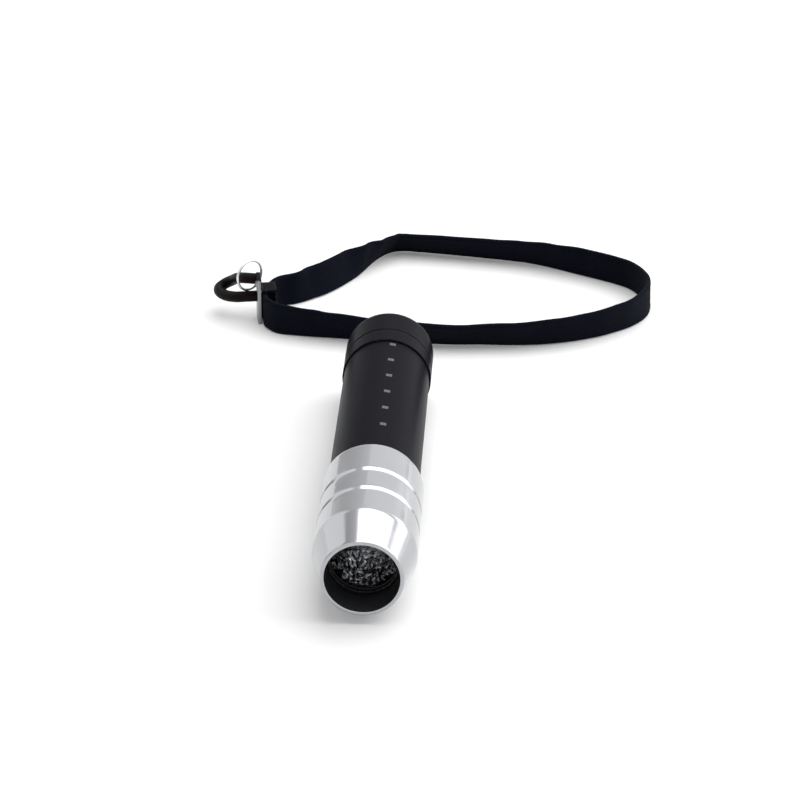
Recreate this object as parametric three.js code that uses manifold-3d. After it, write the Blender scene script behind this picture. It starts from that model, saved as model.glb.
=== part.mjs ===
// A pocket ultraviolet torch: a bright nose and head, a black barrel and tail cap, and a wrist strap.
// Millimetres, +Z up. The torch lies along Y with its nose towards -Y, and the strap lies behind its tail.
// A station is a distance along the torch's axis from the mouth of the nose towards the tail.
import * as THREE from "three";
import { mergeVertices } from "three/addons/utils/BufferGeometryUtils.js";
import Module from "manifold-3d";

const wasm = await Module();
wasm.setup();

// Fits
const seamGap = 0.2; // between two shoulders that are screwed together
const threadGap = 0.2; // between a screwed spigot and its bore, all round
const seatGap = 0.2; // between a piece and the bore that it drops into, all round
const stackGap = 0.1; // between pieces that are stacked along the axis
const sealGap = 0.12; // between a sealing ring and the walls of its groove
const edgeChamfer = 0.3;

// Cell
const cellDiameter = 18.4;
const cellLength = 65.2;
const cellCapDiameter = 6;
const cellCapHeight = 1.2;
const cellClearance = 0.3;

// Barrel
const headSpigotWall = 1.2;
const headSpigotLength = 10.1;
const tailSpigotWall = 0.8;
const tailSpigotLength = 5.7;
const barrelStep = 0.8; // from the front spigot's skin to the barrel's skin

// Nose and window
const noseLength = 11.7;
const mouthDiameter = 18.2;
const rimWidth = 0.9;
const bezelWall = 2.2;
const bezelSpigotLength = 6;
const recessDepth = 8.6;
const retainerWidth = 0.5;
const retainerThickness = 1.1;
const retainerNotch = 1.4;
const gasketWidth = 0.75;
const gasketThickness = 0.6;
const lensThickness = 1.5;
const lensChamfer = 0.2;

// Reflector and light source
const reflectorLength = 10;
const reflectorLip = 0.45;
const reflectorWall = 0.9;
const reflectorFlange = 1.2;
const reflectorEyeDiameter = 5.4;
const centringRingWidth = 1.5;
const centringRingThickness = 1.2;
const ledSide = 3.4;
const ledThickness = 0.7;
const ledDomeDiameter = 2.9;
const ledBoardThickness = 1.4;
const ledBoardMargin = 1.8; // from the heat sink's skin to the board's edge

// Heat sink, driver and leads
const heatSinkDiameter = 20;
const heatSinkFloor = 3;
const heatSinkCupWall = 1.8;
const heatSinkSkirt = 0.7; // from the driver's retaining ring to the cup's end
const driverRoom = 2.6; // between the heat sink's floor and the driver board
const driverBoardThickness = 1;
const driverRetainerWidth = 1.6;
const driverRetainerThickness = 1.6;
const driverCoilDiameter = 4.4;
const driverCoilHeight = 2;
const driverChip = { wide: 4.4, deep: 3, high: 1.2 };
const driverPartOffset = 3.4; // from the axis to the middle of the coil and of the chip
const leadDiameter = 0.9;
const leadHoleGap = 0.35;
const leadOffset = 6.4; // from the axis to the leads' holes
const leadPadOffset = 5.2;
const leadRise = 1; // of the bend of a lead over the light source's board

// Head
const headWall = 0.87;
const headSealDepth = 0.9;
const headSealWidth = 1.6;
const headSealFromRear = 1.7;
const bezelSealDepth = 0.7;
const bezelSealWidth = 1.4;
const bezelSealFromShoulder = 1;
const boreRelief = 0.6; // past the end of a spigot
const barrelStop = 1.8; // from the heat sink to the barrel's front spigot
const headGrooveCount = 2;
const headGrooveWidth = 2.4;
const headGrooveDepth = 0.55;
const headGrooveFromRear = 12.75;
const headGroovePitch = 9.85;

// Contact springs
const contactSpringLength = 9;
const contactSpringRadii = { seat: 3.6, tip: 2.1 };
const tailSpringLength = 9.5;
const tailSpringRadii = { seat: 4.6, tip: 3.4 };
const springWire = 0.8;
const springPitch = 2.1;

// Tail cap and switch
const tailWall = 0.74;
const tailSealDepth = 0.7;
const tailSealWidth = 1.4;
const tailSealFromFront = 1;
const tailRound = 1.8;
const tailGrooveWidth = 1.2;
const tailGrooveDepth = 0.4;
const tailGrooveFromFront = 6.3;
const tailDishDepth = 1.6;
const tailDishWiden = 2.2;
const tailEndWall = 1.7;
const switchRetainerDiameter = 16.8;
const switchRetainerWidth = 2.6;
const switchRetainerThickness = 1.2;
const switchRetainerClearance = 0.4; // to the end of the barrel
const switchBoardThickness = 1;
const switchInset = 0.2; // of the switch board, spacer and boot inside the retaining ring's edge
const switchBodySide = 8;
const switchBodyLength = 4;
const switchSpacerWidth = 1;
const switchSpacerLength = 5.5;
const switchTravel = 1.5;
const plungerDiameter = 3.6;
const plungerGap = 0.3;
const plungerDepth = 1.8; // of the plunger inside the switch's body at rest
const plungerHeadDiameter = 5.4;
const bootFlange = 0.9;
const bootHole = 5.2;
const bootGap = 0.3;
const bootWall = 1.4;
const bootCrown = 0.8;
const bootBelow = 0.4; // from the cap's end face down to the boot's top

// Wrist strap
const strapWidth = 9.5;
const strapThickness = 1.3;
const strapGap = 0.3;
const crimpLength = 6;
const crimpTop = 0.9; // over the strap's edges
const crimpCheek = 0.8; // on the loop's inside
const crimpPlate = 1.2; // on the loop's outside
const crimpHeight = 14; // of the outside plate
const crimpInset = 0.4; // from the crimp's end to the strap's end inside it
const crimpTurn = 100; // of the crimp's length from straight across, in degrees
const crimpPlace = { x: -38.1, behind: 46 }; // middle of the crimp
const cordDiameter = 3.2;
const loopRingWire = 0.8;
const loopRingBore = 8;
const loopRingPlace = { x: -43.2, behind: 47.5, z: 13.4 };
const loopRingTurn = -45; // of the ring's axis from straight across, in degrees

// Route of the strap between its two straight ends in the crimp: across, and behind the tail's end.
const strapRoute = [
  [-37.9, 41],
  [-36.9, 39.5],
  [-35.7, 38.05],
  [-34.4, 37.05],
  [-32.3, 36.35],
  [-30, 35.95],
  [-27.7, 35.55],
  [-23.3, 34.95],
  [-19, 34.45],
  [-8, 33.3],
  [4, 32.4],
  [15.5, 31.7],
  [24, 32.1],
  [32.5, 32.1],
  [41, 32.95],
  [49.4, 35.3],
  [57.9, 39.35],
  [62.2, 42.4],
  [66.5, 46],
  [70.6, 51.6],
  [72.3, 57],
  [72.2, 63.6],
  [67.9, 72.7],
  [63.5, 76.5],
  [59, 79.3],
  [50, 84.3],
  [41, 89.1],
  [36.3, 90.95],
  [31.7, 92.15],
  [22.6, 94.05],
  [13.3, 95.85],
  [4.1, 97.35],
  [-0.6, 98],
  [-4.5, 97],
  [-7.4, 94.2],
  [-10.4, 88.6],
  [-12.9, 81.8],
  [-15.9, 74.9],
  [-21.8, 65.6],
  [-25.8, 61.5],
  [-29.4, 58.7],
  [-31.5, 57.4],
  [-33.6, 56.7],
  [-35.2, 55.9],
  [-36.6, 54.3],
  [-37.6, 51.9],
];

// Route of the stiff cord loop: across, behind the tail's end, and up.
const cordLoopRoute = [
  [-43.95, 45.8, 7.4],
  [-47.4, 46.2, 7],
  [-50.4, 47.6, 6.8],
  [-52.3, 49.7, 7],
  [-52.5, 51.9, 7.3],
  [-51, 53.3, 8],
  [-48.8, 52.6, 9.4],
  [-46.8, 50, 11.3],
  [-44.3, 47.4, 12.5],
];
const cordLoopEnds = [
  { along: 0.8, z: 7.4 },
  { along: 2, z: 12.3 },
]; // along the crimp from its middle, and up

// Facets
const shellSides = 36;
const innerSides = 24;
const wireSides = 8;
const coilSides = 6;
const coilStepsPerTurn = 10;
const strapSteps = 96;
const roundSteps = 4;
const bowlSteps = 7;

// Radii, from the cell outwards
const cellRadius = cellDiameter / 2;
const barrelBore = cellRadius + cellClearance;
const headSpigot = barrelBore + headSpigotWall;
const tailSpigot = barrelBore + tailSpigotWall;
const barrelRadius = headSpigot + barrelStep;
const headRearBore = headSpigot + threadGap;
const headSealFloor = headRearBore + headSealDepth;
const tailBore = tailSpigot + threadGap;
const tailSealFloor = tailBore + tailSealDepth;
const tailRadius = tailSealFloor + tailWall;
const mouthRadius = mouthDiameter / 2;
const windowRadius = mouthRadius - seatGap;
const bezelSpigot = mouthRadius + bezelWall;
const headFrontBore = bezelSpigot + threadGap;
const headRadius = Math.max(headSealFloor, headFrontBore) + headWall;
const heatSinkRadius = heatSinkDiameter / 2;
const headMidBore = heatSinkRadius + seatGap;
const heatSinkCup = heatSinkRadius - heatSinkCupWall;
const driverRadius = heatSinkCup - seatGap;
const leadHole = leadDiameter / 2 + leadHoleGap;
const switchRetainerRadius = switchRetainerDiameter / 2;
const switchCavity = switchRetainerRadius + seatGap;
const switchRadius = switchRetainerRadius - switchInset;

// Stations, from the mouth backwards
const retainerRear = recessDepth + retainerThickness;
const gasketFront = retainerRear + stackGap;
const gasketRear = gasketFront + gasketThickness;
const lensFront = gasketRear + stackGap;
const lensRear = lensFront + lensThickness;
const reflectorFront = lensRear + stackGap;
const reflectorRear = reflectorFront + reflectorLength;
const centringFront = reflectorRear + stackGap;
const centringRear = centringFront + centringRingThickness;
const ledBoardFront = centringRear + stackGap;
const ledBoardRear = ledBoardFront + ledBoardThickness;
const ledFront = ledBoardFront - stackGap - ledThickness;
const heatSinkFront = ledBoardRear + stackGap;
const heatSinkCupFloor = heatSinkFront + heatSinkFloor;
const driverFront = heatSinkCupFloor + driverRoom;
const driverRear = driverFront + driverBoardThickness;
const driverRetainerFront = driverRear + stackGap;
const driverRetainerRear = driverRetainerFront + driverRetainerThickness;
const heatSinkRear = driverRetainerRear + heatSinkSkirt;
const headSpigotFront = heatSinkRear + barrelStop;
const barrelFront = headSpigotFront + headSpigotLength;
const headRear = barrelFront - seamGap;
const headFront = noseLength + seamGap;
const bezelSpigotRear = noseLength + bezelSpigotLength;
const contactSpringFront = driverRear + stackGap;
const contactSpringRear = contactSpringFront + contactSpringLength;
const cellFront = contactSpringRear + stackGap;
const cellBodyFront = cellFront + cellCapHeight + stackGap;
const cellRear = cellFront + cellLength;
const tailSpringFront = cellRear + stackGap;
const tailSpringRear = tailSpringFront + tailSpringLength;
const switchBoardFront = tailSpringRear + stackGap;
const switchBoardRear = switchBoardFront + switchBoardThickness;
const switchRetainerRear = switchBoardFront - stackGap;
const switchRetainerFront = switchRetainerRear - switchRetainerThickness;
const tailSpigotRear = switchRetainerFront - switchRetainerClearance;
const barrelRear = tailSpigotRear - tailSpigotLength;
const tailFront = barrelRear + seamGap;
const switchBodyFront = switchBoardRear + stackGap;
const switchBodyRear = switchBodyFront + switchBodyLength;
const bootFlangeFront = switchBodyFront + switchSpacerLength + stackGap;
const bootFlangeRear = bootFlangeFront + bootFlange;
const tailWallFront = bootFlangeRear + stackGap;
const tailWallRear = tailWallFront + tailEndWall;
const tailEnd = tailWallRear + tailDishDepth;
const bootTop = tailEnd - bootBelow;
const bootCavityTop = bootTop - bootWall;
const torchLength = tailEnd;

/** A plain finish for one node. */
function finish(color, roughness, metalness, extra = {}) {
  return new THREE.MeshStandardMaterial({ color, roughness, metalness, ...extra });
}

const finishes = {
  brightAluminium: finish(0xc9cbce, 0.22, 1),
  blackAnodised: finish(0x17181b, 0.42, 0.6),
  blackRing: finish(0x101114, 0.5, 0.5),
  mirror: finish(0xd5d7da, 0.3, 1),
  glass: finish(0xdfe6ee, 0.04, 0, { transparent: true, opacity: 0.3 }),
  sealRubber: finish(0x151515, 0.75, 0),
  whitePlastic: finish(0xe9e7df, 0.55, 0),
  ceramic: finish(0xdcd8cc, 0.5, 0),
  ledDome: finish(0xe8d99a, 0.08, 0),
  brass: finish(0xb08d4a, 0.35, 1),
  greenBoard: finish(0x1f5b38, 0.45, 0.1),
  chip: finish(0x1b1b1d, 0.5, 0.1),
  copperCoil: finish(0x9a5b33, 0.4, 0.8),
  redLead: finish(0xa02420, 0.5, 0),
  blackLead: finish(0x18181a, 0.5, 0),
  springSteel: finish(0xb9b4a6, 0.3, 1),
  cellWrap: finish(0x2e6f86, 0.35, 0),
  steel: finish(0xb5b7ba, 0.3, 1),
  switchPlastic: finish(0x232427, 0.5, 0),
  bootRubber: finish(0x1a1b1d, 0.7, 0),
  webbing: finish(0x14161b, 0.85, 0),
  gunmetal: finish(0x6c6d70, 0.35, 1),
  waxedCord: finish(0x17110f, 0.7, 0),
};

const torch = new THREE.Group();
const lanyard = new THREE.Group();

/** Adds one named mesh to a group and returns it. */
function addNode(group, name, geometry, material) {
  const mesh = new THREE.Mesh(geometry, material);
  mesh.name = name;
  group.add(mesh);
  return mesh;
}

/** Where a station lies along Y, with the origin at the torch's middle. */
function along(station) {
  return station - torchLength / 2;
}

/** A body of revolution about Y from [radius, station] points that run round the section anticlockwise. */
function turned(points, sides = innerSides) {
  const profile = points.map(([radius, station]) => new THREE.Vector2(radius, along(station)));
  return new THREE.LatheGeometry(profile, sides);
}

/** A ring or tube of rectangular section between two stations. */
function tube(inner, outer, front, rear, sides = innerSides) {
  const section = [
    [inner, front],
    [outer, front],
    [outer, rear],
    [inner, rear],
    [inner, front],
  ];
  return turned(section, sides);
}

/** A solid disc or rod between two stations. */
function disc(radius, front, rear, sides = innerSides) {
  const section = [
    [0, front],
    [radius, front],
    [radius, rear],
    [0, rear],
  ];
  return turned(section, sides);
}

/** A sealing ring of round section that fills the space between two radii and two stations. */
function sealRing(inner, outer, front, rear) {
  const section = [];
  for (let i = 0; i <= wireSides; i += 1) {
    const angle = (2 * Math.PI * i) / wireSides;
    const radius = (inner + outer) / 2 + ((outer - inner) / 2) * Math.cos(angle);
    section.push([radius, (front + rear) / 2 + ((rear - front) / 2) * Math.sin(angle)]);
  }
  return turned(section, shellSides);
}

/** A quarter circle of points round a centre, between two angles in degrees, radius first. */
function arc(centreRadius, centreStation, size, from, to, steps = roundSteps) {
  const points = [];
  for (let i = 0; i <= steps; i += 1) {
    const angle = THREE.MathUtils.degToRad(from + ((to - from) * i) / steps);
    points.push([centreRadius + size * Math.cos(angle), centreStation + size * Math.sin(angle)]);
  }
  return points;
}

/** The outline of a shallow groove with sloping sides in an outer wall, front edge first. */
function groove(radius, centre, width, depth) {
  const floor = width / 3;
  return [
    [radius, centre - width / 2],
    [radius - depth, centre - floor / 2],
    [radius - depth, centre + floor / 2],
    [radius, centre + width / 2],
  ];
}

/** A closed geometry as a solid that can be cut. */
function solidOf(geometry) {
  const bare = geometry.clone();
  bare.deleteAttribute("normal");
  bare.deleteAttribute("uv");
  const merged = mergeVertices(bare, 1e-4);
  const vertProperties = new Float32Array(merged.attributes.position.array);
  const triVerts = new Uint32Array(merged.index.array);
  return new wasm.Manifold(new wasm.Mesh({ numProp: 3, vertProperties, triVerts }));
}

/** A geometry with other geometries cut out of it. */
function cut(geometry, tools) {
  const solid = tools.reduce((body, tool) => body.subtract(solidOf(tool)), solidOf(geometry));
  const mesh = solid.getMesh();
  const made = new THREE.BufferGeometry();
  made.setAttribute("position", new THREE.BufferAttribute(mesh.vertProperties, 3));
  made.setIndex(new THREE.BufferAttribute(mesh.triVerts, 1));
  return made;
}

/** A round drill along Y, past both stations, at a place across and up from the axis. */
function drill(radius, across, up, front, rear) {
  const length = rear - front + 2;
  const geometry = new THREE.CylinderGeometry(radius, radius, length, wireSides);
  return geometry.translate(across, along((front + rear) / 2), up);
}

/** A box given by its middle and its full sizes. */
function block(wide, long, high, across, station, up) {
  return new THREE.BoxGeometry(wide, long, high).translate(across, along(station), up);
}

/** A round wire along a curve. */
function wire(curve, diameter, steps, sides = wireSides) {
  const section = new THREE.Shape().absarc(0, 0, diameter / 2, 0, 2 * Math.PI);
  const options = { steps, curveSegments: Math.ceil(sides / 2), extrudePath: curve };
  return new THREE.ExtrudeGeometry(section, options);
}

/** The middle line of a tapered coil spring that is wound about Y. */
class CoilCurve extends THREE.Curve {
  constructor(front, rear, frontRadius, rearRadius, turns) {
    super();
    Object.assign(this, { front, rear, frontRadius, rearRadius, turns });
  }

  getPoint(t, target = new THREE.Vector3()) {
    const angle = 2 * Math.PI * this.turns * t;
    const radius = THREE.MathUtils.lerp(this.frontRadius, this.rearRadius, t);
    const station = THREE.MathUtils.lerp(this.front, this.rear, t);
    return target.set(radius * Math.sin(angle), along(station), radius * Math.cos(angle));
  }
}

/** A coil spring whose wire fills the space between two stations. */
function coilSpring(front, rear, frontRadius, rearRadius) {
  const turns = Math.max(2, Math.round((rear - front) / springPitch));
  const lift = springWire * 0.6; // keeps the slanting cut ends of the wire inside the stations
  const curve = new CoilCurve(front + lift, rear - lift, frontRadius, rearRadius, turns);
  curve.arcLengthDivisions = 40 * turns;
  return wire(curve, springWire, turns * coilStepsPerTurn, coilSides);
}

/** The bright nose: a cone round the mouth, and the spigot that screws into the head. */
function noseBezel() {
  const sealFront = noseLength + bezelSealFromShoulder;
  const sealFloor = bezelSpigot - bezelSealDepth;
  return turned(
    [
      [mouthRadius, edgeChamfer],
      [mouthRadius + edgeChamfer, 0],
      [mouthRadius + rimWidth - edgeChamfer, 0],
      [mouthRadius + rimWidth, edgeChamfer],
      [headRadius, noseLength - edgeChamfer],
      [headRadius - edgeChamfer, noseLength],
      [bezelSpigot, noseLength],
      [bezelSpigot, sealFront],
      [sealFloor, sealFront],
      [sealFloor, sealFront + bezelSealWidth],
      [bezelSpigot, sealFront + bezelSealWidth],
      [bezelSpigot, bezelSpigotRear],
      [mouthRadius, bezelSpigotRear],
      [mouthRadius, edgeChamfer],
    ],
    shellSides,
  );
}

/** The ring that holds the window in the nose, with two notches for a spanner. */
function lensRetainer() {
  const ring = tube(windowRadius - retainerWidth, windowRadius, recessDepth, retainerRear);
  const notch = block(4 * windowRadius, retainerThickness, retainerNotch, 0, recessDepth, 0);
  return cut(ring, [notch]);
}

/** The round window. */
function lensDisc() {
  return turned([
    [0, lensFront],
    [windowRadius - lensChamfer, lensFront],
    [windowRadius, lensFront + lensChamfer],
    [windowRadius, lensRear - lensChamfer],
    [windowRadius - lensChamfer, lensRear],
    [0, lensRear],
  ]);
}

/** The bowl that throws the light forwards: a parabola inside, and a wall of even thickness round it. */
function reflectorBowl() {
  const eye = reflectorEyeDiameter / 2;
  const mouth = windowRadius - reflectorLip;
  const bowl = [];
  for (let i = 0; i <= bowlSteps; i += 1) {
    const share = i / bowlSteps; // from the front to the eye
    const radius = Math.sqrt(eye ** 2 + (mouth ** 2 - eye ** 2) * (1 - share));
    bowl.push([radius, reflectorFront + share * reflectorLength]);
  }
  const flangeRear = reflectorFront + reflectorFlange;
  const outside = bowl
    .filter(([, station]) => station > flangeRear)
    .map(([radius, station]) => [Math.min(radius + reflectorWall, windowRadius), station]);
  return turned([
    [mouth, reflectorFront],
    [windowRadius, reflectorFront],
    [windowRadius, flangeRear],
    ...outside,
    ...bowl.reverse(),
  ]);
}

/** The dome of the light source. */
function ledDome() {
  const radius = ledDomeDiameter / 2;
  const base = ledFront - stackGap;
  return turned([...arc(0, base, radius, -90, 0), [0, base]], innerSides / 2);
}

/** The two drills for the leads, through everything between two stations. */
function leadDrills(front, rear) {
  return [-1, 1].map((side) => drill(leadHole, side * leadOffset, 0, front, rear));
}

/** A cup that carries the light source's board on its floor and the driver in its bore. */
function heatSink() {
  const cup = turned([
    [0, heatSinkFront],
    [heatSinkRadius, heatSinkFront],
    [heatSinkRadius, heatSinkRear],
    [heatSinkCup, heatSinkRear],
    [heatSinkCup, heatSinkCupFloor],
    [0, heatSinkCupFloor],
  ]);
  return cut(cup, leadDrills(heatSinkFront, heatSinkCupFloor));
}

/** A lead from its pad on the light source's board, over a bend, down its hole to the driver board. */
function lead(side) {
  const bend = ledBoardFront - leadRise;
  const stations = [
    [leadPadOffset, ledBoardFront - 2 * stackGap],
    [leadPadOffset, (ledBoardFront + bend) / 2],
    [(leadPadOffset + leadOffset) / 2, bend],
    [leadOffset, (ledBoardFront + bend) / 2],
    [leadOffset, ledBoardRear],
    [leadOffset, heatSinkCupFloor],
    [leadOffset, driverFront - 2 * stackGap],
  ];
  const points = stations.map(([offset, at]) => new THREE.Vector3(side * offset, along(at), 0));
  return wire(new THREE.CatmullRomCurve3(points, false, "centripetal"), leadDiameter, 22);
}

/** The head: a bright cylinder with turned grooves, threaded at both ends and stepped inside. */
function headShell() {
  const grooves = [];
  for (let i = headGrooveCount - 1; i >= 0; i -= 1) {
    const centre = headRear - headGrooveFromRear - i * headGroovePitch;
    grooves.push(...groove(headRadius, centre, headGrooveWidth, headGrooveDepth));
  }
  const sealRear = headRear - headSealFromRear;
  const sealFront = sealRear - headSealWidth;
  const frontBoreEnd = bezelSpigotRear + boreRelief;
  const rearBoreStart = headSpigotFront - seatGap;
  return turned(
    [
      [headRadius - edgeChamfer, headFront],
      [headRadius, headFront + edgeChamfer],
      ...grooves,
      [headRadius, headRear - edgeChamfer],
      [headRadius - edgeChamfer, headRear],
      [headRearBore, headRear],
      [headRearBore, sealRear],
      [headSealFloor, sealRear],
      [headSealFloor, sealFront],
      [headRearBore, sealFront],
      [headRearBore, rearBoreStart],
      [headMidBore, rearBoreStart],
      [headMidBore, frontBoreEnd],
      [headFrontBore, frontBoreEnd],
      [headFrontBore, headFront],
      [headRadius - edgeChamfer, headFront],
    ],
    shellSides,
  );
}

/** The ring that seals the head on the barrel, in the head's groove. */
function headSeal() {
  const rear = headRear - headSealFromRear - sealGap;
  const front = rear - headSealWidth + 2 * sealGap;
  return sealRing(headSpigot + sealGap, headSealFloor - sealGap, front, rear);
}

/** The ring that seals the nose in the head, in the nose's groove. */
function bezelSeal() {
  const front = noseLength + bezelSealFromShoulder + sealGap;
  const rear = front + bezelSealWidth - 2 * sealGap;
  return sealRing(bezelSpigot - bezelSealDepth + sealGap, headFrontBore - sealGap, front, rear);
}

/** The ring that seals the tail cap on the barrel, in the cap's groove. */
function tailSeal() {
  const front = tailFront + tailSealFromFront + sealGap;
  const rear = front + tailSealWidth - 2 * sealGap;
  return sealRing(tailSpigot + sealGap, tailSealFloor - sealGap, front, rear);
}

/** The black tube that holds the cell, with a spigot at each end. */
function barrelTube() {
  return turned(
    [
      [headSpigot, headSpigotFront],
      [headSpigot, barrelFront],
      [barrelRadius - edgeChamfer, barrelFront],
      [barrelRadius, barrelFront + edgeChamfer],
      [barrelRadius, barrelRear - edgeChamfer],
      [barrelRadius - edgeChamfer, barrelRear],
      [tailSpigot, barrelRear],
      [tailSpigot, tailSpigotRear],
      [barrelBore, tailSpigotRear],
      [barrelBore, headSpigotFront],
      [headSpigot, headSpigotFront],
    ],
    shellSides,
  );
}

/** The black cap behind the barrel, with a round rear edge and a dish round its switch. */
function tailCapShell() {
  const sealFront = tailFront + tailSealFromFront;
  const boreEnd = tailSpigotRear + seatGap;
  const grooveCentre = tailFront + tailGrooveFromFront;
  return turned(
    [
      [tailRadius - edgeChamfer, tailFront],
      [tailRadius, tailFront + edgeChamfer],
      ...groove(tailRadius, grooveCentre, tailGrooveWidth, tailGrooveDepth),
      ...arc(tailRadius - tailRound, tailEnd - tailRound, tailRound, 0, 90),
      [bootHole + tailDishWiden, tailEnd],
      [bootHole, tailWallRear],
      [bootHole, tailWallFront],
      [switchCavity, tailWallFront],
      [switchCavity, boreEnd],
      [tailBore, boreEnd],
      [tailBore, sealFront + tailSealWidth],
      [tailSealFloor, sealFront + tailSealWidth],
      [tailSealFloor, sealFront],
      [tailBore, sealFront],
      [tailBore, tailFront],
      [tailRadius - edgeChamfer, tailFront],
    ],
    shellSides,
  );
}

/** The switch's square body, with a bore for its plunger. */
function switchBody() {
  const half = switchBodySide / 2;
  const outline = new THREE.Shape();
  outline.moveTo(-half, -half);
  outline.lineTo(half, -half);
  outline.lineTo(half, half);
  outline.lineTo(-half, half);
  outline.closePath();
  const bore = new THREE.Path().absarc(0, 0, plungerDiameter / 2 + plungerGap, 0, 2 * Math.PI);
  outline.holes.push(bore);
  const body = new THREE.ExtrudeGeometry(outline, { depth: switchBodyLength, bevelEnabled: false });
  return body.rotateX(-Math.PI / 2).translate(0, along(switchBodyFront), 0);
}

/** The plunger: a stem in the switch's body and a broad head under the boot. */
function switchPlunger() {
  const headFace = switchBodyRear + switchTravel + plungerGap;
  const tip = bootCavityTop - stackGap;
  return turned([
    [0, switchBodyRear - plungerDepth],
    [plungerDiameter / 2, switchBodyRear - plungerDepth],
    [plungerDiameter / 2, headFace],
    [plungerHeadDiameter / 2, headFace],
    [plungerHeadDiameter / 2, tip],
    [0, tip],
  ]);
}

/** The rubber boot: a flange under the cap's end wall and a crowned dome through its hole. */
function switchBoot() {
  const dome = bootHole - bootGap;
  const cavity = dome - bootWall;
  return turned([
    [cavity, bootFlangeFront],
    [switchRadius, bootFlangeFront],
    [switchRadius, bootFlangeRear],
    [dome, bootFlangeRear],
    ...arc(dome - bootCrown, bootTop - bootCrown, bootCrown, 0, 90),
    [0, bootTop],
    [0, bootCavityTop],
    [cavity, bootCavityTop],
    [cavity, bootFlangeFront],
  ]);
}

/** A place in the crimp's own axes, out of its mouth and aside, as across and behind the tail's end. */
function fromCrimp(along, aside) {
  const turn = THREE.MathUtils.degToRad(crimpTurn);
  const x = crimpPlace.x + along * Math.cos(turn) - aside * Math.sin(turn);
  return [x, crimpPlace.behind + along * Math.sin(turn) + aside * Math.cos(turn)];
}

/** The curve of the strap's middle line, whose two ends lap in the crimp. */
function strapCurve() {
  const inset = (strapThickness + strapGap) / 2;
  const deep = crimpLength / 2 - crimpInset;
  const out = crimpLength / 2 + strapGap;
  const near = [deep, -out].map((along) => fromCrimp(along, inset));
  const far = [out, -deep].map((along) => fromCrimp(along, -inset));
  const points = [...near, ...strapRoute, ...far].map(([x, behind]) => new THREE.Vector3(x, behind, 0));
  return new THREE.CatmullRomCurve3(points, false, "centripetal");
}

/** The strap: a flat band that stands on its edge along its route. */
function wristStrap() {
  const curve = strapCurve();
  const sides = [[], []];
  for (let i = 0; i <= strapSteps; i += 1) {
    const at = curve.getPointAt(i / strapSteps);
    const way = curve.getTangentAt(i / strapSteps);
    [1, -1].forEach((side, k) => {
      const out = (side * strapThickness) / 2;
      sides[k].push(new THREE.Vector2(at.x - out * way.y, at.y + out * way.x));
    });
  }
  const outline = new THREE.Shape([...sides[1], ...sides[0].reverse()]);
  return new THREE.ExtrudeGeometry(outline, { depth: strapWidth, bevelEnabled: false });
}

/** Half the room in the crimp for the strap's two lapped ends. */
function crimpHalfRoom() {
  return strapThickness + 1.5 * strapGap;
}

/** The metal crimp: folded over the strap's lapped ends, with a taller plate outside that holds the cord loop. */
function strapCrimp() {
  const room = crimpHalfRoom();
  const roof = strapWidth + strapGap;
  const top = roof + crimpTop;
  const section = new THREE.Shape([
    new THREE.Vector2(-room - crimpPlate, 0),
    new THREE.Vector2(-room, 0),
    new THREE.Vector2(-room, roof),
    new THREE.Vector2(room, roof),
    new THREE.Vector2(room, 0),
    new THREE.Vector2(room + crimpCheek, 0),
    new THREE.Vector2(room + crimpCheek, top - edgeChamfer),
    new THREE.Vector2(room + crimpCheek - edgeChamfer, top),
    new THREE.Vector2(-room, top),
    new THREE.Vector2(-room, crimpHeight - edgeChamfer),
    new THREE.Vector2(-room - edgeChamfer, crimpHeight),
    new THREE.Vector2(-room - crimpPlate + edgeChamfer, crimpHeight),
    new THREE.Vector2(-room - crimpPlate, crimpHeight - edgeChamfer),
  ]);
  const body = new THREE.ExtrudeGeometry(section, { depth: crimpLength, bevelEnabled: false });
  body.rotateX(Math.PI / 2).translate(0, crimpLength / 2, 0);
  const turn = THREE.MathUtils.degToRad(crimpTurn - 90);
  return body.rotateZ(turn).translate(crimpPlace.x, crimpPlace.behind, 0);
}

/** The stiff cord loop that ties the strap to a torch, from the crimp's plate and round to it again. */
function cordLoop() {
  const aside = crimpHalfRoom() + crimpPlate + strapGap;
  const ends = cordLoopEnds.map(({ along, z }) => [...fromCrimp(along, aside), z]);
  const route = [ends[0], ...cordLoopRoute, ends[1]];
  const points = route.map((place) => new THREE.Vector3(...place));
  return wire(new THREE.CatmullRomCurve3(points, false, "centripetal"), cordDiameter, 28);
}

/** The thin steel ring round one leg of the cord loop. */
function loopRing() {
  const section = [];
  const middle = (loopRingBore + loopRingWire) / 2;
  for (let i = 0; i <= coilSides; i += 1) {
    const angle = (2 * Math.PI * i) / coilSides;
    const out = (loopRingWire / 2) * Math.cos(angle);
    section.push(new THREE.Vector2(middle + out, (loopRingWire / 2) * Math.sin(angle)));
  }
  return new THREE.LatheGeometry(section, innerSides);
}

// Nose and window
addNode(torch, "nose_bezel", noseBezel(), finishes.brightAluminium);
addNode(torch, "bezel_seal", bezelSeal(), finishes.sealRubber);
addNode(torch, "lens_retainer", lensRetainer(), finishes.blackRing);
const gasket = tube(windowRadius - gasketWidth, windowRadius, gasketFront, gasketRear);
addNode(torch, "lens_gasket", gasket, finishes.sealRubber);
addNode(torch, "lens", lensDisc(), finishes.glass);

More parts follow.
